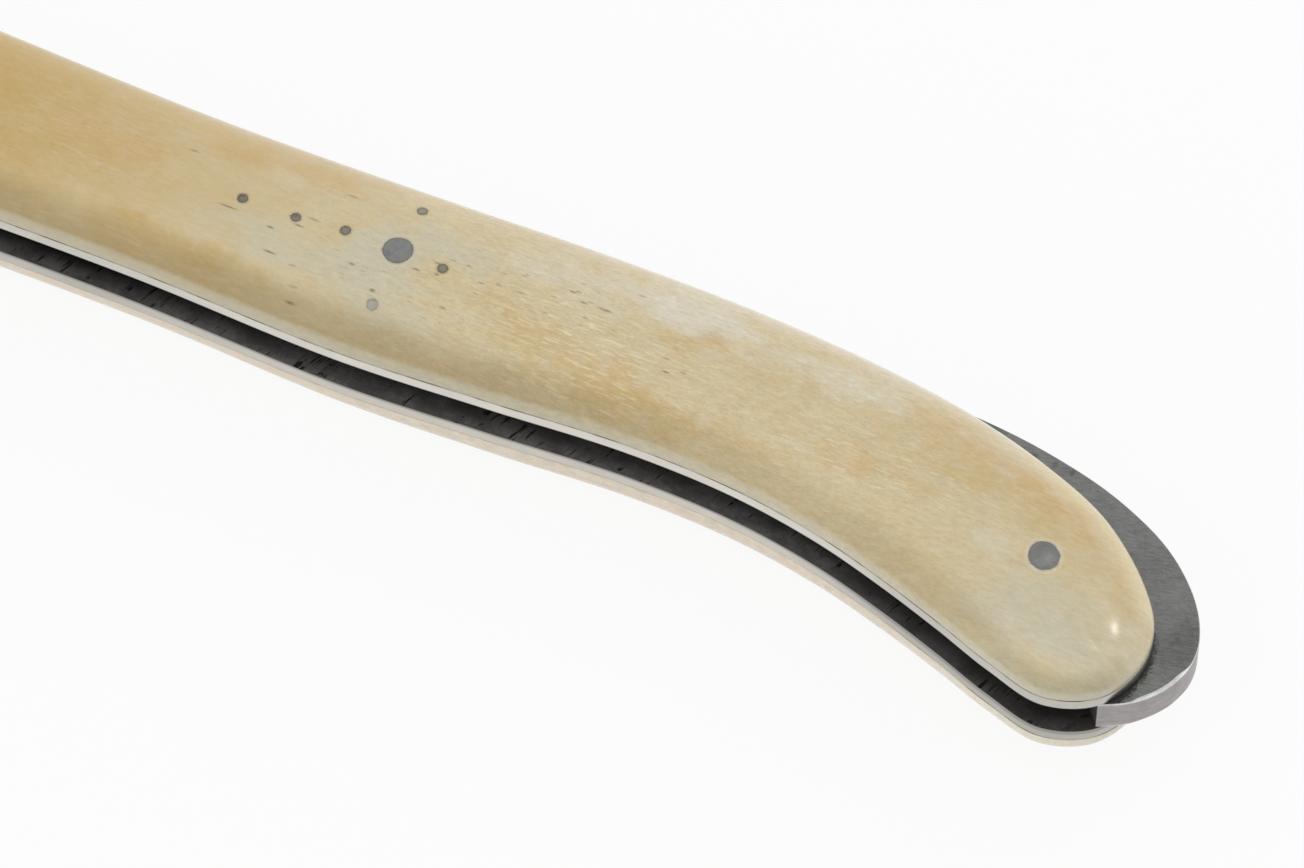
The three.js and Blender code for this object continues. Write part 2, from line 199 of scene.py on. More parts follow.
class KnifeColours(bpy.types.PropertyGroup):
    bone_cream: tint("Bone cream", "Most of the polished bone", 0xD9C8A0)
    bone_gold: tint("Bone gold", "Yellower bone towards the front and the butt", 0xCBAB68)
    bone_warm: tint("Bone warm", "Honey coloured clouds in the bone", 0xD4B27B)
    bone_grey: tint("Bone grey", "Grey green clouds round the cross", 0xD1CAB0)
    bone_pale: tint("Bone pale", "White clouds in the bone", 0xE4DDCA)
    # Partly painted shade: the bone goes olive where the dome slopes down to the belly edge.
    bone_olive: tint("Bone olive", "The darker slope above the belly edge", 0x9A865A)
    # Partly painted shade: the darker grey green on the low slope at the foot of the butt.
    bone_shade: tint("Bone shade", "The grey green slope at the foot of the butt", 0xADA588)
    # Painted reflection: the white sheen along the back slope of the dome. The same white makes the pale
    # halo round the main pins.
    bone_sheen_and_halo: tint("Bone rim", "The white rim along the back of the dome", 0xF4F1E6)
    # Painted light from the white floor: the paler grey green on the wall along the liner.
    bone_wall: tint("Bone wall", "The grey green line of bone along the liner", 0xC9C8B4)
    # Painted light from the white floor: the pale pink cream flank of the lower scale.
    lower_rim_floor_light: tint("Lower rim", "The pink cream edge of the lower scale", 0xDDD0BD)
    bone_fibre: tint("Bone fibres", "Short light fibres along the grain", 0xF0E4C0)
    bone_pore: tint("Bone pores", "Short dark pores along the grain", 0x5E4C32)
    joint_line: tint("Joint line", "Grime in joints, scratches and stains", 0x2A2724)
    liner_edge: tint("Liner edge", "The polished edges of the liners", 0xD8D4CB)
    # Painted shade: the darker grey along the liner edge next to the slot.
    liner_slot_shade: tint("Liner inner edge", "The duller line along the slot", 0x8E8B88)
    liner_face: tint("Liner face", "The dull faces of the liners, inside the slot", 0x767370)
    liner_stain: tint("Liner stain", "Darker patches inside the slot", 0x494643)
    spring_face: tint("Spring face", "The satin sides of the spring", 0x8B8C89)
    spring_edge: tint("Spring edge", "The brighter back of the spring", 0xA09C9B)
    spring_bright: tint("Spring bright", "Edges polished by use", 0xF6F6F6)
    blade_face: tint("Blade face", "The satin sides of the blade", 0xA3A4A5)
    blade_stain: tint("Blade stain", "Faint grey patches on the blade", 0x979899)
    pin_face: tint("Pin face", "The flush heads of the main pins", 0x9E9F9D)
    pin_stain: tint("Pin stain", "Darker patches on the main pins", 0x8E8E8D)
    small_pin: tint("Small pin", "The flush heads of the small pins", 0xA39C8F)
    small_stain: tint("Small pin stain", "Brown grey patches on the small pins", 0x7A6F60)
    # Painted reflection: one small pin lighter and bluer, in place of the glint of a lamp on it.
    bright_pin: tint("Bright pin", "The brightest of the small pins", 0xD0D0C3)


class KnifeStudio(bpy.types.PropertyGroup):
    azimuth: degrees("Azimuth", "Turn of the camera round the knife", 24.5)
    elevation: degrees("Elevation", "Height of the camera above the floor", 57)
    sky: share("Sky", "Strength of the even light from all round", 0.73, 4)
    ceiling: share("Ceiling", "How bright polished steel shows the sky overhead", 0.58)
    back_lamp: power("Back lamp", "Power of the broad lamp behind the knife", 1.8)
    front_lamp: power("Front lamp", "Power of the soft lamp in front of the knife", 1.9)
    glint_lamp: power("Glint lamp", "Power of the small lamp that glints on the butt", 0.1)
    floor_white: share("Floor white", "Share of plain white in what the floor shows", 0.9)


# Curves and surfaces


def smooth_line(knots, steps, closed=False):
    """A centripetal curve through flat knots. Between two knots it is the cubic that leaves and arrives with
    the slopes that the neighbouring knots give, each distance counted as its square root."""
    knots = np.asarray(knots, float)
    if closed:
        chain = np.vstack([knots[-1:], knots, knots[:2]])
        spans = len(knots)
    else:
        chain = np.vstack([2 * knots[0] - knots[1], knots, 2 * knots[-1] - knots[-2]])
        spans = len(knots) - 1
    before, start, stop, after = (chain[first : first + spans, None] for first in range(4))

    def gap(one, other):
        return np.sqrt(np.linalg.norm(other - one, axis=-1, keepdims=True))

    lead, span, trail = gap(before, start), gap(start, stop), gap(stop, after)
    leaving = ((start - before) / lead - (stop - before) / (lead + span) + (stop - start) / span) * span
    arriving = ((stop - start) / span - (after - start) / (span + trail) + (after - stop) / trail) * span
    step = (np.arange(steps) / steps)[None, :, None]
    cubic = start + leaving * step
    cubic = cubic + (3 * (stop - start) - 2 * leaving - arriving) * step**2
    cubic = cubic + (2 * (start - stop) + leaving + arriving) * step**3
    line = cubic.reshape(-1, 2)
    return line if closed else np.vstack([line, knots[-1:]])


def resampled(line, count):
    """The same line in count equal steps of its own length."""
    gaps = np.linalg.norm(np.diff(line, axis=0), axis=1)
    run = np.concatenate([[0], np.cumsum(gaps)])
    places = np.linspace(0, run[-1], count)
    return np.stack([np.interp(places, run, line[:, axis]) for axis in range(2)], -1)


def outward(loop):
    """Unit normals of a closed line that runs clockwise: each chord between neighbours, turned left."""
    chord = np.roll(loop, -1, axis=0) - np.roll(loop, 1, axis=0)
    chord = chord / np.linalg.norm(chord, axis=1, keepdims=True)
    return np.stack([-chord[:, 1], chord[:, 0]], -1)


class HandlePlan:
    """The outline of the handle, and for each of its points the point of the crest that it leans towards.
    pair counts the pairs of knots from the front, and the crest runs midway between back and belly. side is
    one along the back and minus one along the belly, and goes evenly from one to the other at both ends."""

    def __init__(self, steps):
        knots = BACK_LINE + BUTT_END + BELLY_LINE[::-1] + FRONT_END
        self.outline = smooth_line(knots, steps, closed=True)
        self.normal = outward(self.outline)
        pairs = len(BACK_LINE) - 1
        far = 2 * pairs + len(BUTT_END) + 1
        position = np.arange(len(self.outline)) / steps
        self.pair = np.minimum(position, far - position)
        self.pair = np.maximum(self.pair, position - len(knots))
        self.station = self.eased(self.pair, pairs)
        fine = 64
        dense = smooth_line(knots, fine, closed=True)
        back = np.arange(pairs * fine + 1)
        crest = (dense[back] + dense[far * fine - back]) / 2
        where = self.station * fine
        self.crest = np.stack([np.interp(where, back, crest[:, axis]) for axis in range(2)], -1)
        turn = (len(knots) - far) / 2
        across = np.where(position < far, position - far / 2, far + turn - position)
        self.side = np.clip(-across / turn, -1, 1)

    def eased(self, pair, last):
        """The crest stops short of both ends: near an end the station slows down evenly until it stands."""
        span = 2 * CREST_EASE
        late = np.clip((pair - (last - CREST_EASE)) / span, 0, 1)
        early = np.clip((CREST_EASE - pair) / span, 0, 1)
        station = np.clip(pair, CREST_EASE, last - CREST_EASE)
        return station + span * (late - late**2 / 2) - span * (early - early**2 / 2)

    def slab(self, reach, inset, height):
        """Rows of a slab: each row is the outline drawn in to a share of its way from the crest, then moved
        in by an inset in millimetres, at its own height. reach and inset are one number a row."""
        reach = np.asarray(reach, float)[:, None, None]
        inset = np.asarray(inset, float)[:, None, None]
        flat = self.crest + reach * (self.outline - self.crest) - inset * self.normal
        height = np.broadcast_to(height, flat.shape[:2])
        return np.dstack([flat, height])


def quarter(count):
    return np.linspace(0, math.pi / 2, count)


def soft_step(value):
    """A share held between nought and one, that starts and ends slowly."""
    value = np.clip(value, 0, 1)
    return value**2 * (3 - 2 * value)


def scale_rows(plan, edge, drop, slimmer=0.0):
    """A bone scale above the slot. Its foot has a small round edge, its wall is upright, and its dome is a
    superellipse: the height is one minus the reach to a power, all to one over that power. Towards the butt
    the whole dome sinks by drop, with the square of the station past the pair where it starts. Past the end
    of the crest it sinks a little further, ever more slowly, so that the butt is round without a ridge.
    slimmer adds to the power that the height is raised to, in the front half, and thins the flank there."""
    turn = quarter(5)
    dome = quarter(44)[1:]
    front = np.interp(-plan.outline[:, 0], [-LOWER_FRONT["from"], -LOWER_FRONT["full"]], [0, 1])
    rise = np.sin(dome)[:, None] ** (2 / DOME_POWER + slimmer * front)
    inwards = np.cos(dome) ** (2 / DOME_POWER)
    inwards[-1] = 0
    last = len(BACK_LINE) - 1
    along = plan.station + BUTT_FOLLOWS * (plan.pair - plan.station) * inwards[:, None]
    sunk = np.maximum((along - DROPS_FROM_PAIR) / (last - DROPS_FROM_PAIR), 0)
    past = np.clip(sunk - 1, 0, 0.25)
    tall = HANDLE_TOP - SCALE_FOOT - SCALE_WALL - drop * (np.minimum(sunk, 1) ** 2 + 2 * past - 4 * past**2)
    low = np.concatenate([[0, 0], edge * (1 - np.cos(turn)), [SCALE_WALL]])
    low = np.repeat(SCALE_FOOT + low[:, None], len(plan.outline), axis=1)
    height = np.vstack([low, SCALE_FOOT + SCALE_WALL + rise * tall])
    reach = np.concatenate([[0, 0.5], np.ones(len(turn) + 1), inwards])
    inset = np.concatenate([[0, 0], edge * (1 - np.sin(turn)), np.zeros(len(dome) + 1)])
    return plan.slab(reach, inset, height), reach


def liner_rows(plan, edge):
    """A flat plate on the handle outline with small round edges."""
    turn = quarter(4)
    reach = np.concatenate([[0, 0.5], np.ones(2 * len(turn)), [0.5, 0]])
    inset = np.concatenate([[0, 0], edge * (1 - np.sin(turn)), edge * (1 - np.cos(turn)), [0, 0]])
    low = LINER_FOOT + edge * (1 - np.cos(turn))
    high = SCALE_FOOT - edge * (1 - np.sin(turn))
    height = np.concatenate([[LINER_FOOT] * 2, low, high, [SCALE_FOOT] * 2])
    return plan.slab(reach, inset, height[:, None]), reach


def around_rows(rows):
    """Quads between neighbouring rows of a grid whose rows close on themselves."""
    number, count = rows.shape[:2]
    here = np.arange(count)
    after = np.roll(here, -1)
    start = np.arange(number - 1)[:, None] * count
    corners = [start + here, start + after, start + after + count, start + here + count]
    return np.stack(corners, -1).reshape(-1, 4)


def section_rows(lower, upper, across, inset, height):
    """A bar between two lines that run side by side. Each station has a closed loop: a share of the way
    across, less an inset in millimetres along the same direction, at a height."""
    way = upper - lower
    unit = way / np.linalg.norm(way, axis=1, keepdims=True)
    flat = lower[:, None] + across[..., None] * way[:, None] + inset[..., None] * unit[:, None]
    return np.dstack([flat, height])


def rounded_bar(lower, upper, half, round_lower, round_upper, corner=6):
    """A bar of even thickness between two lines with a quarter circle at each of its four edges."""
    turn = quarter(corner)
    bend, stand = 1 - np.cos(turn), 1 - np.sin(turn)
    radius = [np.asarray(part, float).reshape(-1, 1) for part in (round_lower, round_upper)]
    inset = [-radius[1] * bend[::-1], -radius[1] * bend, radius[0] * bend[::-1], radius[0] * bend]
    height = [
        -half + radius[1] * stand[::-1], half - radius[1] * stand,
        half - radius[0] * stand[::-1], -half + radius[0] * stand,
    ]
    count = len(lower)
    inset = np.hstack([np.broadcast_to(part, (count, corner)) for part in inset])
    height = np.hstack([np.broadcast_to(part, (count, corner)) for part in height])
    across = np.repeat([[1, 1, 0, 0]], corner, axis=1).reshape(1, -1)
    across = np.broadcast_to(across, inset.shape).astype(float)
    return section_rows(lower, upper, across, inset, height)


def disc_rows(spot, radius, edge, crown, top, foot):
    """A round bar: rings from the middle of its head to its rim, a quarter circle, and down to its foot.
    top and foot give the height at any place."""
    angle = np.linspace(0, 2 * math.pi, 64, endpoint=False)
    turn = quarter(4)
    flat = np.linspace(0, 1, 6)[:-1] * (radius - edge)
    radii = np.concatenate([flat, radius - edge * (1 - np.sin(turn))])
    sink = np.concatenate([np.zeros(len(flat)), edge * (1 - np.cos(turn))])
    east = spot[0] + radii[:, None] * np.cos(angle)
    north = spot[1] + radii[:, None] * np.sin(angle)
    rise = crown * (1 - (radii / radius) ** 2)
    head = np.dstack([east, north, top(east, north) + rise[:, None] - sink[:, None]])
    end = np.dstack([east, north, foot(east, north) + sink[:, None]])
    return np.concatenate([head, end[::-1]])


def pad_rows(middle, half_sizes, rings=24, sides=64):
    """An ellipsoid: circles of latitude from the top to the bottom."""
    latitude = np.linspace(0, math.pi, rings)[:, None]
    longitude = np.linspace(0, 2 * math.pi, sides, endpoint=False)
    flat = np.sin(latitude)
    rise = np.cos(latitude) + 0 * longitude
    ball = np.dstack([flat * np.cos(longitude), flat * np.sin(longitude), rise])
    return np.asarray(middle) + ball * np.asarray(half_sizes)


# Meshes


SHARP_ANGLE = math.radians(40)
MERGE_DISTANCE = 1e-7
DRILL_REACH = 20.0
DRILL_EDGE = 0.001


def linked(name, data):
    """A new object in the scene, at the origin."""
    made = bpy.data.objects.new(name, data)
    bpy.context.scene.collection.objects.link(made)
    return made


def shaded(mesh):
    mesh.shade_smooth()
    mesh.set_sharp_from_angle(angle=SHARP_ANGLE)


def piece(name, rows, pairs=None, capped=False):
    """A closed mesh from rows of millimetres about the centre pin. Points that fall together are merged, so
    a row drawn in to a line or a point closes the surface. capped closes the first and the last row. pairs
    holds two numbers for each point, for the material."""
    points = rows.reshape(-1, 3) * MM + np.array(CENTRE)
    faces = around_rows(rows).tolist()
    count = rows.shape[1]
    if capped:
        faces.append(list(range(count))[::-1])
        faces.append(list(range(len(points) - count, len(points))))
    mesh = bpy.data.meshes.new(name)
    mesh.from_pydata(points.tolist(), [], faces)
    if pairs is not None:
        layer = mesh.uv_layers.new(name="handle_map")
        corners = np.empty(len(mesh.loops), np.int32)
        mesh.loops.foreach_get("vertex_index", corners)
        layer.data.foreach_set("uv", pairs.reshape(-1, 2)[corners].ravel())
    work = bmesh.new()
    work.from_mesh(mesh)
    bmesh.ops.remove_doubles(work, verts=work.verts, dist=MERGE_DISTANCE)
    bmesh.ops.recalc_face_normals(work, faces=work.faces)
    work.to_mesh(mesh)
    work.free()
    shaded(mesh)
    return linked(name, mesh)


def worked(made, tools, operation):
    """Cuts tools out of a piece, or joins them to it, and deletes them."""
    for tool in tools:
        cut = made.modifiers.new("work", "BOOLEAN")
        cut.operation = operation
        cut.solver = "EXACT"
        cut.object = tool
    view = bpy.context.evaluated_depsgraph_get()
    mesh = bpy.data.meshes.new_from_object(made.evaluated_get(view))
    made.modifiers.clear()
    made.data = mesh
    for tool in tools:
        bpy.data.objects.remove(tool)
    shaded(mesh)
    return made


def level_at(height):
    """The same height at any place."""
    return lambda east, north: np.full(east.shape, height)


def drill(spot, radius):
    """A plain round cutter through the knife."""
    ends = (level_at(DRILL_REACH), level_at(-DRILL_REACH))
    return piece("drill", disc_rows(spot, radius, DRILL_EDGE, 0.0, *ends))


def placed(made, body, slot, material, *nodes):
    """Gives a finished piece its material and its body, and hides the nodes that it stands for. slot is not
    used.
    """
    made.data.materials.clear()
    made.data.materials.append(material)
    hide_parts(*nodes)
    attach(made, body)
    return made


# Materials


class Wire:
    """A socket of a material. Sums that are written on it become Math nodes."""

    def __init__(self, paint, socket):
        self.paint = paint
        self.socket = socket

    def math(self, operation, *values):
        sockets = dict(enumerate(values))
        return self.paint.node("ShaderNodeMath", {"operation": operation}, sockets)

    def __add__(self, other):
        return self.math("ADD", self, other)

    def __radd__(self, other):
        return self.math("ADD", other, self)

    def __sub__(self, other):
        return self.math("SUBTRACT", self, other)

    def __rsub__(self, other):
        return self.math("SUBTRACT", other, self)

    def __mul__(self, other):
        return self.math("MULTIPLY", self, other)

    def __rmul__(self, other):
        return self.math("MULTIPLY", other, self)

    def __abs__(self):
        return self.math("ABSOLUTE", self)

    def most(self, other):
        return self.math("MAXIMUM", self, other)

    def least(self, other):
        return self.math("MINIMUM", self, other)

    def held(self):
        """The same value, held between nought and one."""
        return self.most(0.0).least(1.0)


class Paint:
    """The nodes of one material, or of the world. node() sets a node's settings first, then the values or
    links of its sockets."""

    def __init__(self, tree):
        self.tree = tree
        self.tree.nodes.clear()

    def node(self, kind, settings=None, sockets=None, output=0):
        node = self.tree.nodes.new(kind)
        for word, value in (settings or {}).items():
            setattr(node, word, value)
        for key, value in (sockets or {}).items():
            if isinstance(value, Wire):
                self.tree.links.new(value.socket, node.inputs[key])
            else:
                node.inputs[key].default_value = value
        return Wire(self, node.outputs[output])

    def vector(self, operation, *values):
        return self.node("ShaderNodeVectorMath", {"operation": operation}, dict(enumerate(values)))

    def place(self):
        """Object coordinates in millimetres from the centre pin."""
        at = self.node("ShaderNodeTexCoord", output="Object")
        from_pin = self.vector("SUBTRACT", at, tuple(CENTRE))
        return self.vector("MULTIPLY", from_pin, (1 / MM,) * 3)

    def axis(self, vector, letter):
        return self.node("ShaderNodeSeparateXYZ", None, {0: vector}, letter)

    def mapped(self, place, scale, turn=0.0, shift=(0, 0, 0)):
        sockets = {"Vector": place, "Scale": scale, "Rotation": (0, 0, turn), "Location": shift}
        return self.node("ShaderNodeMapping", {"vector_type": "POINT"}, sockets)

    def noise(self, place, stretch, detail=2.0, rough=0.5, turn=0.0, shift=(0, 0, 0), output="Fac"):
        """Soft noise. stretch is how many of its grains go into a millimetre along each axis, after the
        place is turned by some degrees so that its X runs along the strokes."""
        if turn:
            place = self.mapped(place, (1, 1, 1), -math.radians(turn))
        sockets = {"Vector": self.mapped(place, stretch, shift=shift), "Scale": 1.0}
        sockets.update({"Detail": detail, "Roughness": rough})
        return self.node("ShaderNodeTexNoise", None, sockets, output)

    def between(self, value, low, high, first=0.0, last=1.0):
        """From first, below low, to last, above high, with an easy curve between."""
        settings = {"interpolation_type": "SMOOTHSTEP"}
        return self.node("ShaderNodeMapRange", settings, {0: value, 1: low, 2: high, 3: first, 4: last})

    def mix(self, factor, first, second):
        sockets = {0: factor, 6: opaque(first), 7: opaque(second)}
        return self.node("ShaderNodeMix", {"data_type": "RGBA"}, sockets, 2)

    def lit(self, colour, amount):
        """A colour made lighter or darker: each part times the same amount."""
        return self.node("ShaderNodeVectorMath", {"operation": "SCALE"}, {0: colour, 3: amount})

    def away(self, place, spot, sizes):
        """How far a place is from a spot, in half sizes of an oval."""
        scale = (1 / sizes[0], 1 / sizes[1], 0)
        shift = (-spot[0] / sizes[0], -spot[1] / sizes[1], 0)
        offset = self.mapped(place, scale, shift=shift)
        return self.node("ShaderNodeVectorMath", {"operation": "LENGTH"}, {0: offset}, "Value")

    def nearest(self, place, spots):
        """The distance in millimetres to the nearest of some spots."""
        found = self.away(place, spots[0], (1, 1))
        for spot in spots[1:]:
            found = found.least(self.away(place, spot, (1, 1)))
        return found

    def clouds(self, place, spots):
        """Soft ovals, each with its place, half sizes and strength: full in the middle, nought at the rim.
        Where they lie over each other they add up, to one at most."""
        total = None
        for east, north, wide, tall, strength in spots:
            one = self.between(self.away(place, (east, north), (wide, tall)), 0.1, 1.0, strength, 0.0)
            total = one if total is None else total + one
        return total.least(1.0)

    def bump(self, height, strength, distance):
        sockets = {"Height": height, "Strength": strength, "Distance": distance * MM}
        return self.node("ShaderNodeBump", None, sockets)

    def seam(self, place, distance, near, far):
        """Grime in long patches along a joint. It fades between near and far millimetres from it."""
        patchy = self.between(self.noise(place, (0.3, 0.0, 0.0)), 0.42, 0.58)
        return (1 - self.between(distance, near, far)) * (patchy * 0.5 + 0.3)

    def steel(self, strokes, specks, colour, shine, metal=1.0, strength=0.15):
        """Brushed steel: strokes and specks stand out a little from the surface."""
        relief = self.bump(strokes * 0.8 + specks * 0.3, strength, 0.01)
        return {"Base Color": colour, "Metallic": metal, "Roughness": shine, "Normal": relief}

    def end(self, kind, shader):
        end = self.tree.nodes.new(kind)
        self.tree.links.new(shader.socket, end.inputs["Surface"])


def painted(name, build, *choices):
    """A new material. build makes its nodes, and gives back the constants and links of its shader."""
    material = bpy.data.materials.new(name)
    material.use_nodes = True
    paint = Paint(material.node_tree)
    shader = paint.node("ShaderNodeBsdfPrincipled", None, build(paint, *choices), "BSDF")
    paint.end("ShaderNodeOutputMaterial", shader)
    return material


def opaque(value):
    if isinstance(value, Wire):
        return value
    return (*value[:3], 1.0)


# Clouds and marks in the bone of the marked scale: place, half length, half width and strength of each
GOLD_CLOUDS = [
    (-40, 2.5, 40, 21, 0.92), (-15, -6.4, 11, 2.0, 0.6), (-9, 4.4, 9, 2.4, 0.45), (19, -4.6, 10, 1.8, 0.5),
    (46, 0.5, 12, 4.5, 0.4), (58.5, 0.5, 6, 7, 0.5), (11, -2.6, 7, 2.0, 0.3),
]
WARM_CLOUDS = [
    (-23, 0.4, 8, 2.8, 0.7), (-13, 3.6, 7, 2.0, 0.6), (-33, 3, 9, 3, 0.25), (10, -1.2, 5, 1.6, 0.4),
    (24, 1.6, 5, 1.4, 0.4), (18, -3.4, 9, 1.5, 0.5), (45, 1.6, 8, 2.2, 0.6), (51.5, 0.6, 5, 2.2, 0.55),
    (38, -2.4, 8, 2.0, 0.4), (29, -4, 8, 1.6, 0.35), (57, -2.5, 5, 4, 0.3),
]
GREY_CLOUDS = [
    (-8.5, -3.0, 7.5, 2.8, 0.9), (-1, -2.4, 6, 3.2, 1.0), (0, 0.6, 4.4, 2.8, 1.0), (4.5, 1.6, 6, 2.2, 0.8),
    (1, -5.0, 7, 2.2, 0.7), (54, -8.4, 10, 4.6, 1.0), (-31, 8.2, 10, 2.6, 0.75),
]
PALE_CLOUDS = [
    (21, 3.8, 11, 2.8, 1.05), (10, 3.2, 7, 2.0, 0.6), (34, 3.2, 7, 2.2, 0.8), (49, -5.0, 3.5, 1.5, 0.5),
    (54, -10.8, 5, 2.4, 0.4), (14, 1.6, 5, 1.0, 0.4), (61, -6.5, 2.0, 5, 0.4), (46, 2.0, 7, 2.0, 0.4),
]
FIBRE_CLOUDS = [(16, -1.4, 16, 5.5, 1.0), (38, -2.5, 16, 5, 0.7), (-24, 0, 14, 6, 0.15), (52, 1, 8, 4, 0.25)]
PORE_CLOUDS = [(2, -2, 15, 5, 0.5), (11, 1.2, 10, 2.9, 1.4), (-26, 0, 14, 6, 0.3), (45, -5, 12, 5, 0.25)]
# Where the foot of the butt carries painted shade, partly bone colour
BUTT_SHADE = [(56, -12.8, 9, 6, 1.6)]
PORES = [
    (-12.7, -1.6, 1.18, 0.12, 0.92), (-9.2, -1.95, 0.46, 0.14, 0.92), (-7.4, -1, 0.63, 0.12, 1),
    (-6.6, -0.1, 0.78, 0.14, 0.57), (-8.4, -3.75, 0.78, 0.14, 0.92), (-6.4, -4.1, 0.46, 0.14, 0.57),
    (-5.5, -6.4, 0.7, 0.14, 1), (-5.7, -5.45, 0.55, 0.11, 0.57), (-5, 3, 0.7, 0.14, 0.57),
    (-2.5, -2.4, 0.35, 0.16, 0.8), (-0.25, -3.7, 0.35, 0.19, 1), (1.9, -0.95, 0.46, 0.14, 0.92),
    (3.1, 0.15, 0.46, 0.12, 0.92), (5, -3.05, 0.44, 0.14, 0.69), (-17.1, 1.8, 0.63, 0.14, 0.69),
    (12.9, 1.95, 0.44, 0.14, 0.92), (14, 1.4, 0.5, 0.11, 0.92), (15.6, 1.45, 0.86, 0.14, 1),
    (17.5, 3.75, 0.44, 0.14, 0.57), (21.7, -1.5, 0.44, 0.12, 0.92), (22.9, -1.1, 0.39, 0.11, 0.69),
    (21.3, -0.5, 0.46, 0.11, 0.69), (9.6, 0.3, 0.63, 0.11, 0.69), (3.4, -0.75, 0.31, 0.18, 0.92),
]
STAIN_WIDTH = 0.3


def bone_paint(paint, colours, side):
    """Polished bone: clouds, then the slopes of the dome, with painted shade above the belly and at the foot
    of the butt, a painted reflection along the back and painted light from the floor on the rims, fibres and
    grain, pores, stains round the pins and grime in the joint. side is one for the marked scale and minus
    one for the other, whose clouds are turned end for end so that the two scales aren't twins."""
    plain = paint.place()
    place = plain if side > 0 else paint.mapped(plain, (-1, -1, 1), shift=(6, -3, 40))
    drift = paint.noise(place, (0.22, 0.35, 0.3), detail=4, rough=0.65, output="Color")
    drift = paint.vector("MULTIPLY", paint.vector("SUBTRACT", drift, (0.5, 0.5, 0.5)), (11, 6, 0))
    adrift = paint.vector("ADD", place, drift)
    broad = paint.noise(place, (0.16, 0.28, 0.3), detail=3, rough=0.6) - 0.5
    blotch = paint.noise(place, (0.5, 0.8, 0.8), shift=(7, 3, 1), rough=0.6) - 0.5

    along = paint.axis(plain, "X")
    forward = paint.between(along, -14, 8)
    restless = blotch * (forward * 0.55 + 0.45)
    gold = paint.clouds(adrift, GOLD_CLOUDS)
    warm = paint.clouds(adrift, WARM_CLOUDS)
    grey = paint.clouds(adrift, GREY_CLOUDS)
    pale = paint.clouds(adrift, PALE_CLOUDS)
    colour = paint.mix((gold + broad * 0.7).held(), colours.bone_cream, colours.bone_gold)
    colour = paint.mix((warm * 0.85 + restless * 0.8).held(), colour, colours.bone_warm)
    colour = paint.mix((grey * 0.9 - restless * 0.5 - broad * 0.3).held(), colour, colours.bone_grey)
    colour = paint.mix((pale * 0.8 - restless * 0.6).held(), colour, colours.bone_pale)

    where = paint.node("ShaderNodeUVMap", {"uv_map": "handle_map"})
    reach = paint.axis(where, "X")
    belly = 0.5 - paint.axis(where, "Y") + broad * 0.06
    # Painted shade, partly bone colour: grey green towards the edge at the foot of the butt.
    butt = paint.clouds(plain, BUTT_SHADE)
    # Painted shade, partly bone colour: olive on the slope down to the belly edge, weaker towards the butt
    # and giving way there to the butt's own shade.
    slope_shade = paint.between(belly, 0.3, 0.5) * (1 - butt.held())
    colour = paint.mix(slope_shade * (0.78 - paint.between(along, 8, 34) * 0.25), colour, colours.bone_olive)
    colour = paint.mix(paint.between(reach, 0.7, 1.0) * butt.held() * 0.8, colour, colours.bone_shade)
    # Painted reflection of the white room: a pale sheen along the back slope, stronger from the middle
    # rearwards, in white that turns to the fibre colour at the butt.
    rearward = paint.between(along, 38, 52)
    back_sheen = paint.between(along, 4, 24) * 0.34 + rearward * 0.2 + 0.08
    rim = paint.mix(rearward, colours.bone_sheen_and_halo, colours.bone_fibre)
    colour = paint.mix(paint.between(belly * -1.0, 0.3, 0.48) * back_sheen, colour, rim)
    if side > 0:
        # On the marked scale, painted light from the white floor: the wall along the liner goes paler grey
        # green.
        colour = paint.mix(paint.between(reach, 0.975, 0.998) * 0.45, colour, colours.bone_wall)
    else:
        # On the lower scale, painted light from the white floor: the flank goes pink cream towards its edge,
        # paler towards the butt.
        rim = paint.mix(rearward * 0.8, colours.lower_rim_floor_light, colours.bone_pale)
        colour = paint.mix(paint.between(reach, 0.55, 0.9), colour, rim)

    fibre = paint.noise(place, (0.75, 5.5, 1.0), detail=1.5)
    fibres = paint.between(fibre, 0.54, 0.64) * (paint.clouds(place, FIBRE_CLOUDS) * 0.9 + 0.1)
    colour = paint.mix(fibres * 0.6, colour, colours.bone_fibre)
    grain = paint.noise(place, (1.15, 3.6, 2.0), detail=4, rough=0.75)
    fine = paint.noise(place, (4.0, 9.0, 6.0), rough=0.6)
    texture = (grain - 0.5) * 0.6 + (fine - 0.5) * 0.22 - (fibre - 0.5) * 0.16
    colour = paint.lit(colour, texture * (forward * 0.52 + 0.43 - rearward * 0.28) + 1.0)

    cells = paint.mapped(place, (0.75, 2.8, 0.0))
    settings = {"voronoi_dimensions": "2D"}
    sockets = {"Vector": cells, "Scale": 1.0, "Randomness": 1.0}
    distance = paint.node("ShaderNodeTexVoronoi", settings, sockets, "Distance")
    chance = paint.node("ShaderNodeTexVoronoi", settings, sockets, "Color")
    chance = paint.node("ShaderNodeSeparateColor", None, {0: chance}, "Red")
    scattered = (1 - paint.between(distance, 0.06, 0.26)) * paint.between(chance, 0.74, 0.97)
    scattered = scattered * paint.clouds(place, PORE_CLOUDS) * 0.85
    shaken = paint.vector("ADD", place, paint.vector("MULTIPLY", drift, (0, 0.02, 0)))
    pores = scattered.most(paint.clouds(shaken, PORES)) if side > 0 else scattered
    pores = pores * paint.between(fine, 0.25, 0.5)
    colour = paint.mix(pores * 0.75, colour, colours.bone_pore)

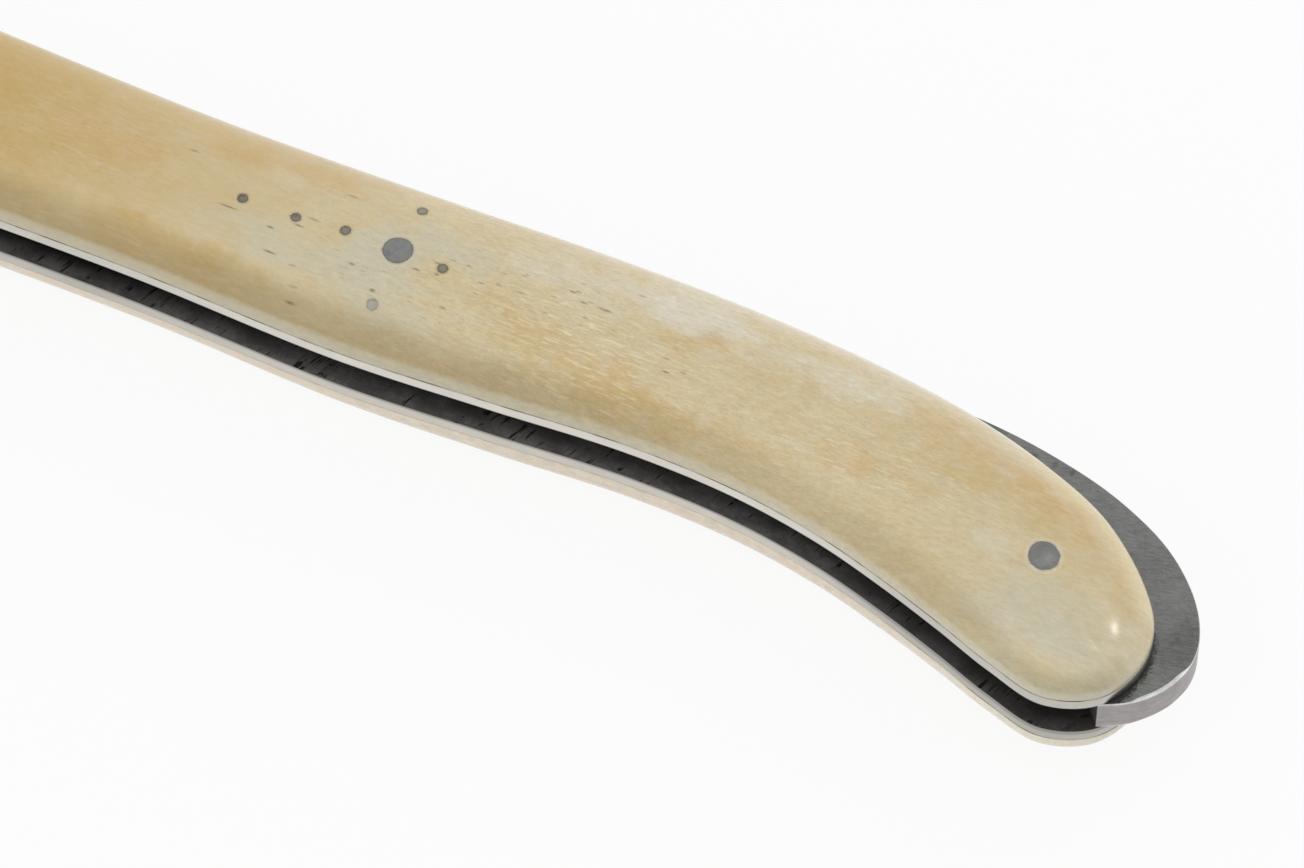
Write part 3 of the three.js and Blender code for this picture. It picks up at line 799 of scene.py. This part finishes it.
    near = paint.nearest(plain, MAIN_PINS) - PIN_RADIUS
    halo = (1 - paint.between(near, 0.05, 0.45)) * (rearward * 0.25 + 0.12)
    colour = paint.mix(halo, colour, colours.bone_sheen_and_halo)
    if side > 0:
        near = near.least(paint.nearest(plain, CROSS_SPOTS) - CROSS_PIN_RADIUS)
    smear = paint.between(grain, 0.42, 0.6) * (1 - paint.between(near, 0.02, STAIN_WIDTH))
    colour = paint.mix(smear * 0.55, colour, colours.small_stain)
    rings = 1 - paint.between(near, 0.02, 0.12)
    colour = paint.mix(rings * 0.3, colour, colours.joint_line)

    joint = paint.seam(place, abs(paint.axis(plain, "Z")) - SCALE_FOOT, 0.03, 0.14)
    joint = joint * (1.0 if side > 0 else rearward * 0.7 + 0.3)
    colour = paint.mix(joint, colour, colours.joint_line)

    relief = grain * 0.3 - pores * 1.5 + fibre * 0.15
    return {
        "Base Color": colour,
        "Roughness": grain * 0.12 + pores * 0.3 + 0.09,
        "Normal": paint.bump(relief, 0.2, 0.02),
        "IOR": 1.54,
        "Subsurface Weight": 0.1,
        "Subsurface Radius": (1.0, 0.7, 0.4),
        "Subsurface Scale": 0.5 * MM,
    }


def liner_paint(paint, colours):
    """Liner steel: polished by hand along its edges, and dull, stained and scratched on its faces inside the
    slot. The edges carry painted shade, darker at the front, at the butt, on the lower liner and next to the
    slot. The faces carry painted light and shade: lighter towards the mouth, darker deep inside, at the
    front and at the butt."""
    place = paint.place()
    along = paint.axis(place, "X")
    ahead = 1 - paint.between(along, -24, -2)
    butt = paint.between(along, 34, 44)
    high = abs(paint.axis(place, "Z"))
    below = paint.between(paint.axis(place, "Z") * -1.0, 0.0, 0.5)
    inside = 1 - paint.between(high - LINER_FOOT, 0.002, 0.012)
    flat = inside.most(paint.between(high - SCALE_FOOT, -0.012, -0.002))
    strokes = paint.noise(place, (0.5, 4, 14), detail=4, rough=0.7)
    patches = paint.noise(place, (0.16, 0.3, 0.5))
    # Painted shade on the edges: darker at the front, at the butt and on the lower liner.
    shade = 1 - ahead * 0.12 - butt * 0.2 - below * 0.14
    edge = paint.lit(colours.liner_edge, (strokes * 0.45 + patches * 0.25 + 0.64) * shade)
    # Painted shade along the half of the edge next to the dark slot, wider on the lower liner at the butt.
    slot_side_shade = 1 - paint.between(high - LINER_FOOT - below * (butt * 0.18 + 0.04), 0.06, 0.2)
    edge = paint.mix(slot_side_shade * 0.7, edge, colours.liner_slot_shade)
    joint = paint.seam(place, SCALE_FOOT - high, 0.02, 0.1) * (1 - below * (0.6 - butt * 0.6))
    edge = paint.mix(joint, edge, colours.joint_line)

    stain = paint.noise(place, (0.35, 0.6, 1), detail=4, rough=0.65)
    across = paint.noise(place, (0.25, 2.2, 1), turn=68, detail=3, rough=0.7)
    scratches = paint.between(across, 0.56, 0.62) * paint.between(stain, 0.46, 0.54)
    face = paint.mix(paint.between(stain, 0.35, 0.65) * 0.6 + 0.2, colours.liner_stain, colours.liner_face)
    face = paint.mix(scratches * 0.85, face, colours.joint_line)
    worn = paint.noise(place, (8, 10, 8), detail=3, rough=0.75)
    where = paint.node("ShaderNodeUVMap", {"uv_map": "handle_map"})
    # Painted light and shade on the faces inside the slot: lighter at the mouth, darker deep inside, at the
    # front and at the butt.
    mouth = paint.between(paint.axis(where, "X"), 0.72, 1.0)
    depth = 0.55 - ahead * 0.35 - butt * 0.2 + mouth * (0.95 - butt * 0.55)
    face = paint.lit(face, (worn * 1.2 + 0.4) * depth * (1 - scratches * 0.6))
    return {
        "Base Color": paint.mix(flat, edge, face),
        "Metallic": 1 - flat * 0.6,
        "Roughness": strokes * 0.15 + flat * 0.15 + 0.22,
        "Normal": paint.bump(strokes * 0.6 + worn * flat, 0.2, 0.01),
    }


# Dark marks on the tail and the shade of its crescent: place, half length, half width and strength
TAIL_MARKS = [
    (47.0, 6.0, 0.6, 0.35, 0.8), (48.7, 5.9, 0.35, 0.5, 0.5), (50.1, 5.75, 0.3, 0.45, 0.7),
    (43.4, 6.9, 1.6, 0.5, 0.6),
]
TAIL_SHADES = [(62.6, -4.2, 2.4, 3.6, 0.8), (58, 0.5, 3, 3, 0.3)]
BUTT_ROUND = {"middle": (55.22, -7.12), "radius": 5.74}


def spring_paint(paint, colours):
    """Spring steel: satin sides with fine strokes that run slightly across the knife, a brighter back, and
    a bright line where its edges are rounded. The crescent carries patches of painted shade. Where the tail
    leaves the butt lies a dark band of old grime and painted shadow under the step of the liner and bone."""
    place = paint.place()
    high = abs(paint.axis(place, "Z")) - STEEL_HALF
    flat = paint.between(high, -0.012, -0.002)
    turned = paint.between(high, -0.26, -0.05)
    strokes = paint.noise(place, (1.1, 5.5, 2), turn=14, detail=4, rough=0.75)
    haze = paint.noise(place, (0.6, 0.8, 0.6), detail=3, rough=0.6)
    specks = paint.noise(place, (7, 7, 7), rough=0.6)
    shade = paint.clouds(place, TAIL_SHADES) * 0.35 + 0.02
    face = paint.lit(colours.spring_face, strokes * 1.25 + haze * 0.35 + specks * 0.5 - shade)
    ground = paint.noise(place, (0.9, 0.9, 2.5), detail=4, rough=0.7)
    back = paint.lit(colours.spring_edge, ground * 0.9 + 0.55)
    polished = 1 - paint.between(paint.away(place, POLISHED_CORNER["middle"], (4, 4)), 0.3, 1.1)
    bright = paint.lit(colours.spring_bright, ground * 1.2 + 0.35)
    colour = paint.mix(turned * (polished * 0.6 + 0.4), back, bright)
    colour = paint.mix(flat, colour, face)

    # Painted shadow and grime: a dark, ragged band on the tail along the butt, where the liner and bone step
    # down to it.
    from_butt = paint.away(place, BUTT_ROUND["middle"], (BUTT_ROUND["radius"],) * 2) - 1
    behind = paint.between(paint.axis(place, "X"), 55, 58)
    behind = behind * paint.between(paint.axis(place, "Y") * -1.0, 0.5, 7)
    grime_and_shadow = (1 - paint.between(from_butt + (specks + haze - 1) * 0.14, 0.03, 0.1)) * behind
    marks = paint.clouds(place, TAIL_MARKS) * paint.between(strokes, 0.35, 0.5)
    dark = (grime_and_shadow * 0.95).most(marks * 0.8) * flat
    colour = paint.mix(dark, colour, colours.joint_line)
    shine = strokes * 0.16 + specks * 0.08 + (0.3 - turned * 0.08 + flat * 0.12)
    return paint.steel(strokes, specks, colour, shine, 1 - dark * 0.7)


def satin_paint(paint, face, stain, turn, stretch, patches, roughness):
    """Plain satin steel with fine strokes, small specks and patches of stain."""
    place = paint.place()
    strokes = paint.noise(place, stretch, turn=turn, detail=4, rough=0.75)
    haze = paint.noise(place, patches, detail=3, rough=0.6)
    specks = paint.noise(place, (6, 6, 6), rough=0.6)
    stained = paint.mix(paint.between(haze, 0.45, 0.65) * 0.6, face, stain)
    colour = paint.lit(stained, strokes * 0.4 + specks * 0.3 + 0.65)
    shine = strokes * 0.16 + haze * 0.1 + (roughness - 0.13)
    return paint.steel(strokes, specks, colour, shine, strength=0.12)


def pin_paint(paint, face, stain, rim, spots, radius):
    """Satin steel that darkens towards the rim of each pin. The rear pin carries a painted reflection: a
    little lighter on its belly side and darker towards the back of the butt. The spots are the middles of
    the pins."""
    satin = satin_paint(paint, face, stain, 20, (2.5, 3.5, 3), (1.1, 1.5, 1.0), 0.4)
    place = paint.place()
    # Painted reflection on the rear pin: a little lighter on its belly side, darker towards the back of the
    # butt.
    behind = paint.between(paint.axis(place, "Y"), REAR_PIN[1] - 1.1, REAR_PIN[1] + 1.3)
    rear = paint.between(paint.axis(place, "X"), REAR_PIN[0] - 12, REAR_PIN[0] - 11)
    colour = paint.lit(satin["Base Color"], rear * (0.06 - behind * 0.34) + 1.0)
    edge = paint.between(paint.nearest(place, spots) - radius, -0.2, 0.0)
    satin["Base Color"] = paint.mix(edge * 0.5, colour, rim)
    return satin


def floor_material(white):
    """White paper. Most of what the camera, mirrors and glass see of it is plain white light, and the rest
    is lit, which keeps the shadow of the knife."""
    material = bpy.data.materials.new("white_paper")
    material.use_nodes = True
    paint = Paint(material.node_tree)
    seen = paint.node("ShaderNodeLightPath", output="Is Camera Ray")
    seen = seen.most(paint.node("ShaderNodeLightPath", output="Is Glossy Ray"))
    seen = seen.most(paint.node("ShaderNodeLightPath", output="Is Transmission Ray"))
    grain = paint.noise(paint.place(), (0.4, 0.4, 0.4))
    lit = paint.mix(grain, (0.9, 0.9, 0.9), (0.93, 0.93, 0.93))
    paper = paint.node("ShaderNodeBsdfDiffuse", None, {"Color": lit}, "BSDF")
    glow = paint.node("ShaderNodeEmission", None, {"Color": (1, 1, 1, 1), "Strength": 1.0}, "Emission")
    both = paint.node("ShaderNodeMixShader", None, {0: seen * white, 1: paper, 2: glow}, "Shader")
    paint.end("ShaderNodeOutputMaterial", both)
    return material


# Pieces


def handle_map(plan, reach):
    """Two numbers for each point of a slab: how far it is from the crest to the edge, and which way it
    leans, from nought at the belly edge through a half at the crest to one at the back edge."""
    reach = np.repeat(np.asarray(reach, float)[:, None], len(plan.outline), axis=1)
    return np.dstack([reach, 0.5 + 0.5 * plan.side * reach])


# The dome is fitted round a pin from its points that are this high above the wall and this near to the pin
FIT_RISE = 1.0
FIT_REACH = 2.4


def bone_height(rows):
    """The height of the dome near a place: the surface of second degree, with a cubic term each way, that
    fits the nearest points of the dome best, by least squares."""
    points = rows.reshape(-1, 3)
    points = points[points[:, 2] > SCALE_FOOT + SCALE_WALL + FIT_RISE]

    def terms(east, north):
        parts = [np.ones_like(east), east, north, east**2, east * north, north**2, east**3, north**3]
        return np.stack(parts, -1)

    def near(spot):
        offset = points[:, :2] - np.array(spot)
        close = np.linalg.norm(offset, axis=1) < FIT_REACH
        found = np.linalg.lstsq(terms(*offset[close].T), points[close, 2], rcond=None)[0]
        return lambda east, north: terms(east - spot[0], north - spot[1]) @ found

    return near


class KnifeOperator:
    bl_options = {"REGISTER", "UNDO"}


class KNIFE_OT_stage(KnifeOperator, bpy.types.Operator):
    """Sets up the white floor, the even sky, three lamps and the camera of the photograph"""

    bl_idname = "knife.stage"
    bl_label = "Stage"

    PIXELS_PER_MM = 14.0
    FRAME_WIDTH = 1304
    LENS = 200.0
    SENSOR = 36.0
    LOOKS_AT = (21.195, -2.705, 0.0)
    FLOOR_HALF = 3.0

    # Each lamp's name, its place and width in metres, and whether polished steel shows it
    LAMPS = [
        ("back_lamp", (0.05, 0.85, 0.35), 0.8, False),
        ("front_lamp", (-0.35, -0.75, 0.25), 0.5, False),
        ("glint_lamp", (0.245, 0.28, 0.636), 0.022, True),
    ]

    def execute(self, context):
        studio = context.scene.knife_studio
        self.floor(studio)
        self.sky(context, studio)
        for name, place, width, mirrored in self.LAMPS:
            self.lamp(name, place, width, getattr(studio, name), mirrored)
        self.camera(context, studio)
        context.scene.view_settings.view_transform = "Standard"
        return {"FINISHED"}

    def floor(self, studio):
        mesh = bpy.data.meshes.new("floor")
        half = self.FLOOR_HALF
        corners = [(-half, -half, 0), (half, -half, 0), (half, half, 0), (-half, half, 0)]
        mesh.from_pydata(corners, [], [(0, 1, 2, 3)])
        mesh.materials.append(floor_material(studio.floor_white))
        linked("floor", mesh)

    def sky(self, context, studio):
        """An even sky, as the matt surfaces see it. It is white to the camera, and in polished ones it goes
        from white at the horizon to grey overhead, as a room does."""
        world = bpy.data.worlds.new("even_sky")
        world.use_nodes = True
        paint = Paint(world.node_tree)
        height = paint.axis(paint.node("ShaderNodeTexCoord", output="Generated"), "Z")
        room = 1 - paint.between(height, 0.25, 0.9) * (1 - studio.ceiling)
        seen = paint.node("ShaderNodeLightPath", output="Is Camera Ray")
        seen = seen.most(paint.node("ShaderNodeLightPath", output="Is Transmission Ray"))
        mirrored = paint.node("ShaderNodeLightPath", output="Is Glossy Ray")
        strength = seen + mirrored * room + (1 - seen.most(mirrored)) * studio.sky
        sky = {"Color": (1, 1, 1, 1), "Strength": strength}
        paint.end("ShaderNodeOutputWorld", paint.node("ShaderNodeBackground", None, sky, "Background"))
        context.scene.world = world

    def lamp(self, name, place, width, watts, mirrored):
        """A square lamp that faces the knife. The broad ones light it without a patch of their own on it."""
        data = bpy.data.lights.new(name, "AREA")
        data.size = width
        data.energy = watts
        made = linked(name, data)
        made.visible_glossy = mirrored
        made.location = place
        aim = CENTRE - Vector(place)
        made.rotation_euler = aim.to_track_quat("-Z", "Y").to_euler()

    def camera(self, context, studio):
        data = bpy.data.cameras.new("photo_camera")
        data.lens = self.LENS
        data.sensor_width = self.SENSOR
        distance = self.LENS / self.SENSOR * self.FRAME_WIDTH / self.PIXELS_PER_MM * MM
        data.clip_start = distance / 10
        data.clip_end = distance * 20
        azimuth, elevation = studio.azimuth, studio.elevation
        flat = math.cos(elevation)
        back = Vector((math.sin(azimuth) * flat, -math.cos(azimuth) * flat, math.sin(elevation)))
        made = linked("photo_camera", data)
        made.location = CENTRE + Vector(self.LOOKS_AT) * MM + back * distance
        made.rotation_euler = back.to_track_quat("Z", "Y").to_euler()
        context.scene.camera = made


class KNIFE_OT_scales(KnifeOperator, bpy.types.Operator):
    """Makes the two domed bone scales, drilled for their pins"""

    bl_idname = "knife.scales"
    bl_label = "Bone scales"

    def execute(self, context):
        shapes = context.scene.knife_shapes
        colours = context.scene.knife_colours
        plan = HandlePlan(shapes.fineness)
        main = [(spot, PIN_RADIUS + HOLE_ROOM) for spot in MAIN_PINS]
        cross = [(spot, CROSS_PIN_RADIUS + HOLE_ROOM) for spot in CROSS_SPOTS]
        choices = (
            ("marked_bone_scale", "scale_upper", 1, UPPER_DOME, main + cross),
            ("back_bone_scale", "scale_lower", -1, LOWER_DOME, main),
        )
        for name, node, side, dome, holes in choices:
            rows, reach = scale_rows(plan, shapes.scale_edge / MM, *dome)
            made = piece(name, rows * (1, 1, side), handle_map(plan, reach))
            worked(made, [drill(*hole) for hole in holes], "DIFFERENCE")
            placed(made, "handle", "bone", painted(f"{name}_finish", bone_paint, colours, side), node)
        return {"FINISHED"}


class KNIFE_OT_liners(KnifeOperator, bpy.types.Operator):
    """Makes the two thin steel liners"""

    bl_idname = "knife.liners"
    bl_label = "Liners"

    def execute(self, context):
        shapes = context.scene.knife_shapes
        colours = context.scene.knife_colours
        plan = HandlePlan(shapes.fineness)
        rows, reach = liner_rows(plan, shapes.liner_edge / MM)
        steel = painted("liner_steel", liner_paint, colours)
        for name, node, side in (("upper_liner", "liner_upper", 1), ("lower_liner", "liner_lower", -1)):
            made = piece(name, rows * (1, 1, side), handle_map(plan, reach))
            worked(made, [drill(spot, PIN_RADIUS + HOLE_ROOM) for spot in MAIN_PINS], "DIFFERENCE")
            placed(made, "handle", "liner_steel", steel, node)
        return {"FINISHED"}


class KNIFE_OT_spring(KnifeOperator, bpy.types.Operator):
    """Makes the back spring with its lug, its thumb leaf and its crescent tail"""

    bl_idname = "knife.spring"
    bl_label = "Back spring"

    BAR_STATIONS = 9
    TAIL_STATIONS = 11
    LUG_EDGE = 0.08
    LUG_INTO_BAR = 0.3
    NECK = {"below": 2.5, "above": 0.5, "edge": 0.05}

    def execute(self, context):
        shapes = context.scene.knife_shapes
        colours = context.scene.knife_colours
        steel = painted("spring_steel", spring_paint, colours)
        made = piece("crescent_spring", self.bar(shapes), capped=True)
        worked(made, [self.lug(), self.leaf(), self.neck()], "UNION")
        high, low = (drill(spot, PIN_RADIUS + SLOT_ROOM) for spot in ((0.0, 0.0), (0.0, -LUG_SLOT_DROP)))
        slot = worked(high, [low], "UNION")
        worked(made, [slot, drill(REAR_PIN, PIN_RADIUS + TURNING_ROOM)], "DIFFERENCE")
        placed(made, "spring", "spring_steel", steel, "back_spring")
        return {"FINISHED"}

    def bar(self, shapes):
        """The bar runs from the nose along the back of the handle and then out into the tail. Its two edge
        lines have the same number of stations up to the tail, and again along it. Its outer edges are
        rounder where the pocket has polished the tail."""
        fine = shapes.fineness
        back = smooth_line(BACK_LINE, fine)
        back = back[(back[:, 0] > NOSE_X) & (back[:, 0] <= TAIL_STARTS + 1e-6)]
        first = (NOSE_X, float(np.interp(NOSE_X, back[:, 0], back[:, 1])))
        outside = smooth_line([tuple(back[-1])] + TAIL_OUTSIDE, fine)
        inside = smooth_line(SPRING_INSIDE, fine)
        starts = int(np.argmin(np.linalg.norm(inside - np.array(SPRING_INSIDE[1]), axis=1)))
        ahead = [(NOSE_X, NOSE_UNDERSIDE), (-SPRING_INSIDE[0][0], LUG_TOP)]
        plain, curved = self.BAR_STATIONS * fine, self.TAIL_STATIONS * fine
        upper = np.vstack([resampled(np.vstack([[first], back]), plain)[:-1], resampled(outside, curved)])
        lower = np.vstack([ahead, inside[: starts + 1]])
        lower = np.vstack([resampled(lower, plain)[:-1], resampled(inside[starts:], curved)])
        corner = np.linalg.norm(upper - np.array(POLISHED_CORNER["middle"]), axis=1)
        polish = soft_step((POLISHED_CORNER["reach"] - corner) / POLISHED_CORNER["fade"])
        edge = shapes.spring_edge / MM
        outer = edge + (shapes.corner_edge / MM - edge) * polish
        return rounded_bar(lower, upper, STEEL_HALF, np.full(len(upper), edge), outer)

    def lug(self):
        """A round eye under the spring for the centre pin: its half width is that of a circle below its
        middle, and its radius above it."""
        straight = np.linspace(0, LUG_TOP + self.LUG_INTO_BAR, 8)[1:]
        height = np.concatenate([-LUG_RADIUS * np.cos(quarter(24)), straight])
        height[0] = -LUG_RADIUS * 0.9995
        half = np.sqrt(np.maximum(LUG_RADIUS**2 - np.minimum(height, 0) ** 2, 0))
        left = np.stack([-half, height], -1)
        right = np.stack([half, height], -1)
        edge = np.minimum(self.LUG_EDGE, half / 3)
        return piece("lug", rounded_bar(left, right, STEEL_HALF, edge, edge), capped=True)

    def leaf(self):
        """The thumb leaf is half an ellipsoid on the back of the nose: its foot is pressed flat."""
        middle, foot = self.leaf_place()
        rows = pad_rows((0, 0, 0), (THUMB_LEAF["length"] / 2, THUMB_LEAF["width"] / 2, THUMB_LEAF["height"]))
        rows[..., 2] = np.maximum(rows[..., 2], 0)
        rows = rows[..., [0, 2, 1]] + np.array([middle, foot, 0.0])
        return piece("leaf", rows)

    def leaf_place(self):
        middle = NOSE_X + THUMB_LEAF["length"] / 2
        foot = (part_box("back_spring")[1].y - CENTRE.y) / MM - THUMB_LEAF["height"]
        return middle, foot

    def neck(self):
        """A short bar that joins the leaf to the nose."""
        middle, foot = self.leaf_place()
        half = THUMB_LEAF["length"] / 2 - THUMB_LEAF["neck_inset"]
        east = np.linspace(middle - half, middle + half, 24)
        low = np.stack([east, np.full_like(east, foot - self.NECK["below"])], -1)
        high = np.stack([east, np.full_like(east, foot + self.NECK["above"])], -1)
        edge = np.full(len(east), self.NECK["edge"])
        return piece("neck", rounded_bar(low, high, STEEL_HALF, edge, edge), capped=True)


class KNIFE_OT_blade(KnifeOperator, bpy.types.Operator):
    """Makes the blade with its tang, its plunge line, its fine edge and its nail nick"""

    bl_idname = "knife.blade"
    bl_label = "Blade"

    TANG_HEEL = (3.0, -4.26)
    PLUNGE = 2.6
    TIP_HALF = 0.35
    TIP_SPREAD = 0.08
    BEHIND_EDGE = 0.16
    BEVEL = 0.9
    KEEN_HALF = 0.012
    EDGE_ROUND = 0.12

    def execute(self, context):
        colours = context.scene.knife_colours
        look = (90, (1.5, 7, 7), (0.25, 0.4, 0.5), 0.3)
        steel = painted("blade_steel", satin_paint, colours.blade_face, colours.blade_stain, *look)
        made = piece("long_blade", self.rows(context.scene.knife_shapes.fineness), capped=True)
        forward, above = NAIL_NICK["middle"]
        middle = (PIVOT[0] - forward, PIVOT[1] + above, STEEL_HALF - NAIL_NICK["inset"])
        sizes = (NAIL_NICK["length"] / 2, NAIL_NICK["height"] / 2, NAIL_NICK["depth"])
        nick = piece("nick", pad_rows(middle, sizes, 32, 96))
        worked(made, [nick, drill(PIVOT, PIN_RADIUS + TURNING_ROOM)], "DIFFERENCE")
        placed(made, "blade", "blade_steel", steel, "blade")
        return {"FINISHED"}

    def lines(self, fine):
        """The upper and the lower line of the blade, from the back of the round tang to the point, with the
        same number of stations in each of four stretches."""
        rear = np.linspace(0.02, 1, 2 * fine)
        choices = (
            (math.acos(-SHOULDER / TANG_RADIUS), (SHOULDER, SHOULDER_HEIGHT), BLADE_SPINE),
            (-math.pi / 2, self.TANG_HEEL, BLADE_EDGE),
        )
        lines = []
        for turn, corner, line in choices:
            tang = np.stack([-np.cos(rear * turn), np.sin(rear * turn)], -1) * TANG_RADIUS
            parts = [tang]
            parts.append(resampled(np.array([tang[-1], corner]), fine)[1:])
            parts.append(resampled(np.array([corner, line[0]]), fine)[1:])
            parts.append(smooth_line(line, 2 * fine)[1:])
            lines.append(np.vstack(parts))
        return lines

    def rows(self, fine):
        """Each station is a closed loop round the section. Half the thickness falls in a straight line from
        the spine to just behind the edge, and then over a fine bevel. Behind the plunge line it stays full.
        The small roundings at spine and edge take off a share that grows with the square of the way in."""
        upper, lower = self.lines(fine)
        upper[-1] = upper[-1] + (0.0, self.TIP_SPREAD)
        lower[-1] = lower[-1] - (0.0, self.TIP_SPREAD)
        forward = (upper[:, 0] + lower[:, 0]) / 2
        ground = soft_step((forward - RICASSO_LENGTH) / self.PLUNGE)[:, None]
        along = np.clip((forward - RICASSO_LENGTH) / (BLADE_TIP[0] - RICASSO_LENGTH), 0, 1)[:, None]
        spine = STEEL_HALF + (self.TIP_HALF - STEEL_HALF) * along**2.2
        tall = np.linalg.norm(upper - lower, axis=1)[:, None]
        bevel = np.minimum(self.BEVEL / tall, 0.45)
        rounding = self.EDGE_ROUND / tall
        down = np.concatenate([[0.0, 0.015, 0.05], np.linspace(0.1, 0.9, 12), [0.96, 0.99, 1.0]])[None, :]
        wedge = spine + (self.BEHIND_EDGE - spine) * np.clip(down / (1 - bevel), 0, 1)
        fine_edge = self.BEHIND_EDGE * np.clip((1 - down) / bevel, 0, 1) + self.KEEN_HALF
        keen = np.where(down > 1 - bevel, fine_edge, wedge)
        easing = 1 - np.clip(1 - down / rounding, 0, 1) ** 2 * 0.12
        full = 1 - np.clip(1 - np.minimum(down, 1 - down) / rounding, 0, 1) ** 2 * 0.06
        full = STEEL_HALF * full
        half = full + (keen * easing - full) * ground
        across = np.hstack([1 - down, 1 - down[:, ::-1]])
        across = np.broadcast_to(across, (len(upper), across.shape[1]))
        height = np.hstack([half, -half[:, ::-1]])
        lower, upper = (np.array(PIVOT) + line * (-1, 1) for line in (lower, upper))
        return section_rows(lower, upper, across, np.zeros_like(across), height)


class KNIFE_OT_pins(KnifeOperator, bpy.types.Operator):
    """Makes the three main pins and the six small ones, each flush with the bone round it"""

    bl_idname = "knife.pins"
    bl_label = "Pins"

    def execute(self, context):
        shapes = context.scene.knife_shapes
        colours = context.scene.knife_colours
        edge = shapes.pin_edge / MM
        main = (MAIN_PINS, PIN_RADIUS)
        cross = (CROSS_SPOTS, CROSS_PIN_RADIUS)
        looks = (
            ("pin_steel", colours.pin_face, colours.pin_stain, colours.pin_stain, *main),
            ("small_pin_steel", colours.small_pin, colours.small_stain, colours.small_stain, *cross),
            # The steel of the last small pin, with a painted glint: lighter and bluer
            ("bright_pin_steel", colours.bright_pin, colours.small_pin, colours.bone_grey, *cross),
        )
        steel, small, bright = (painted(name, pin_paint, *look) for name, *look in looks)
        plan = HandlePlan(shapes.fineness)
        domes = [scale_rows(plan, shapes.scale_edge / MM, *dome)[0] for dome in (UPPER_DOME, LOWER_DOME)]
        upper, lower = (bone_height(rows) for rows in domes)
        names = ("pivot_rivet", "centre_rivet", "rear_rivet")
        nodes = ("pivot_pin", "centre_pin", "rear_pin")
        for name, node, spot in zip(names, nodes, MAIN_PINS):
            crown = shapes.rear_crown / MM if node == "rear_pin" else 0.0
            under = lower(spot)
            foot = lambda east, north: FOOT_INSET - under(east, north)
            made = piece(name, disc_rows(spot, PIN_RADIUS + PIN_SWELL, edge, crown, upper(spot), foot))
            placed(made, "handle", "pin_steel", steel, node)
        inside = level_at(SCALE_FOOT)
        for number, (node, spot) in enumerate(zip(CROSS_PINS, CROSS_SPOTS), 1):
            rows = disc_rows(spot, CROSS_PIN_RADIUS + PIN_SWELL, edge / 2, 0.0, upper(spot), inside)
            made = piece(f"small_pin_{number}", rows)
            # The last small pin gets the steel with the painted glint.
            placed(made, "handle", "pin_steel", bright if number == len(CROSS_PINS) else small, node)
        return {"FINISHED"}


class KNIFE_PT_panel(bpy.types.Panel):
    bl_label = "Folding knife"
    bl_idname = "KNIFE_PT_panel"
    bl_space_type = "VIEW_3D"
    bl_region_type = "UI"
    bl_category = "Knife"

    def draw(self, context):
        for group in (context.scene.knife_shapes, context.scene.knife_colours, context.scene.knife_studio):
            box = self.layout.box()
            for word in group.__annotations__:
                box.prop(group, word)
        for operator in OPERATORS:
            self.layout.operator(operator.bl_idname)


OPERATORS = (
    KNIFE_OT_stage, KNIFE_OT_scales, KNIFE_OT_liners, KNIFE_OT_spring, KNIFE_OT_blade, KNIFE_OT_pins,
)
GROUPS = {"knife_shapes": KnifeShapes, "knife_colours": KnifeColours, "knife_studio": KnifeStudio}


def register():
    for group in GROUPS.values():
        bpy.utils.register_class(group)
    for operator in OPERATORS:
        bpy.utils.register_class(operator)
    bpy.utils.register_class(KNIFE_PT_panel)
    for word, group in GROUPS.items():
        setattr(bpy.types.Scene, word, bpy.props.PointerProperty(type=group))


def unregister():
    for word in GROUPS:
        delattr(bpy.types.Scene, word)
    bpy.utils.unregister_class(KNIFE_PT_panel)
    for operator in reversed(OPERATORS):
        bpy.utils.unregister_class(operator)
    for group in GROUPS.values():
        bpy.utils.unregister_class(group)


def main():
    register()
    bpy.ops.knife.stage()
    bpy.ops.knife.scales()
    bpy.ops.knife.liners()
    bpy.ops.knife.spring()
    bpy.ops.knife.blade()
    bpy.ops.knife.pins()
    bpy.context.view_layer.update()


if __name__ == "__main__":
    main()
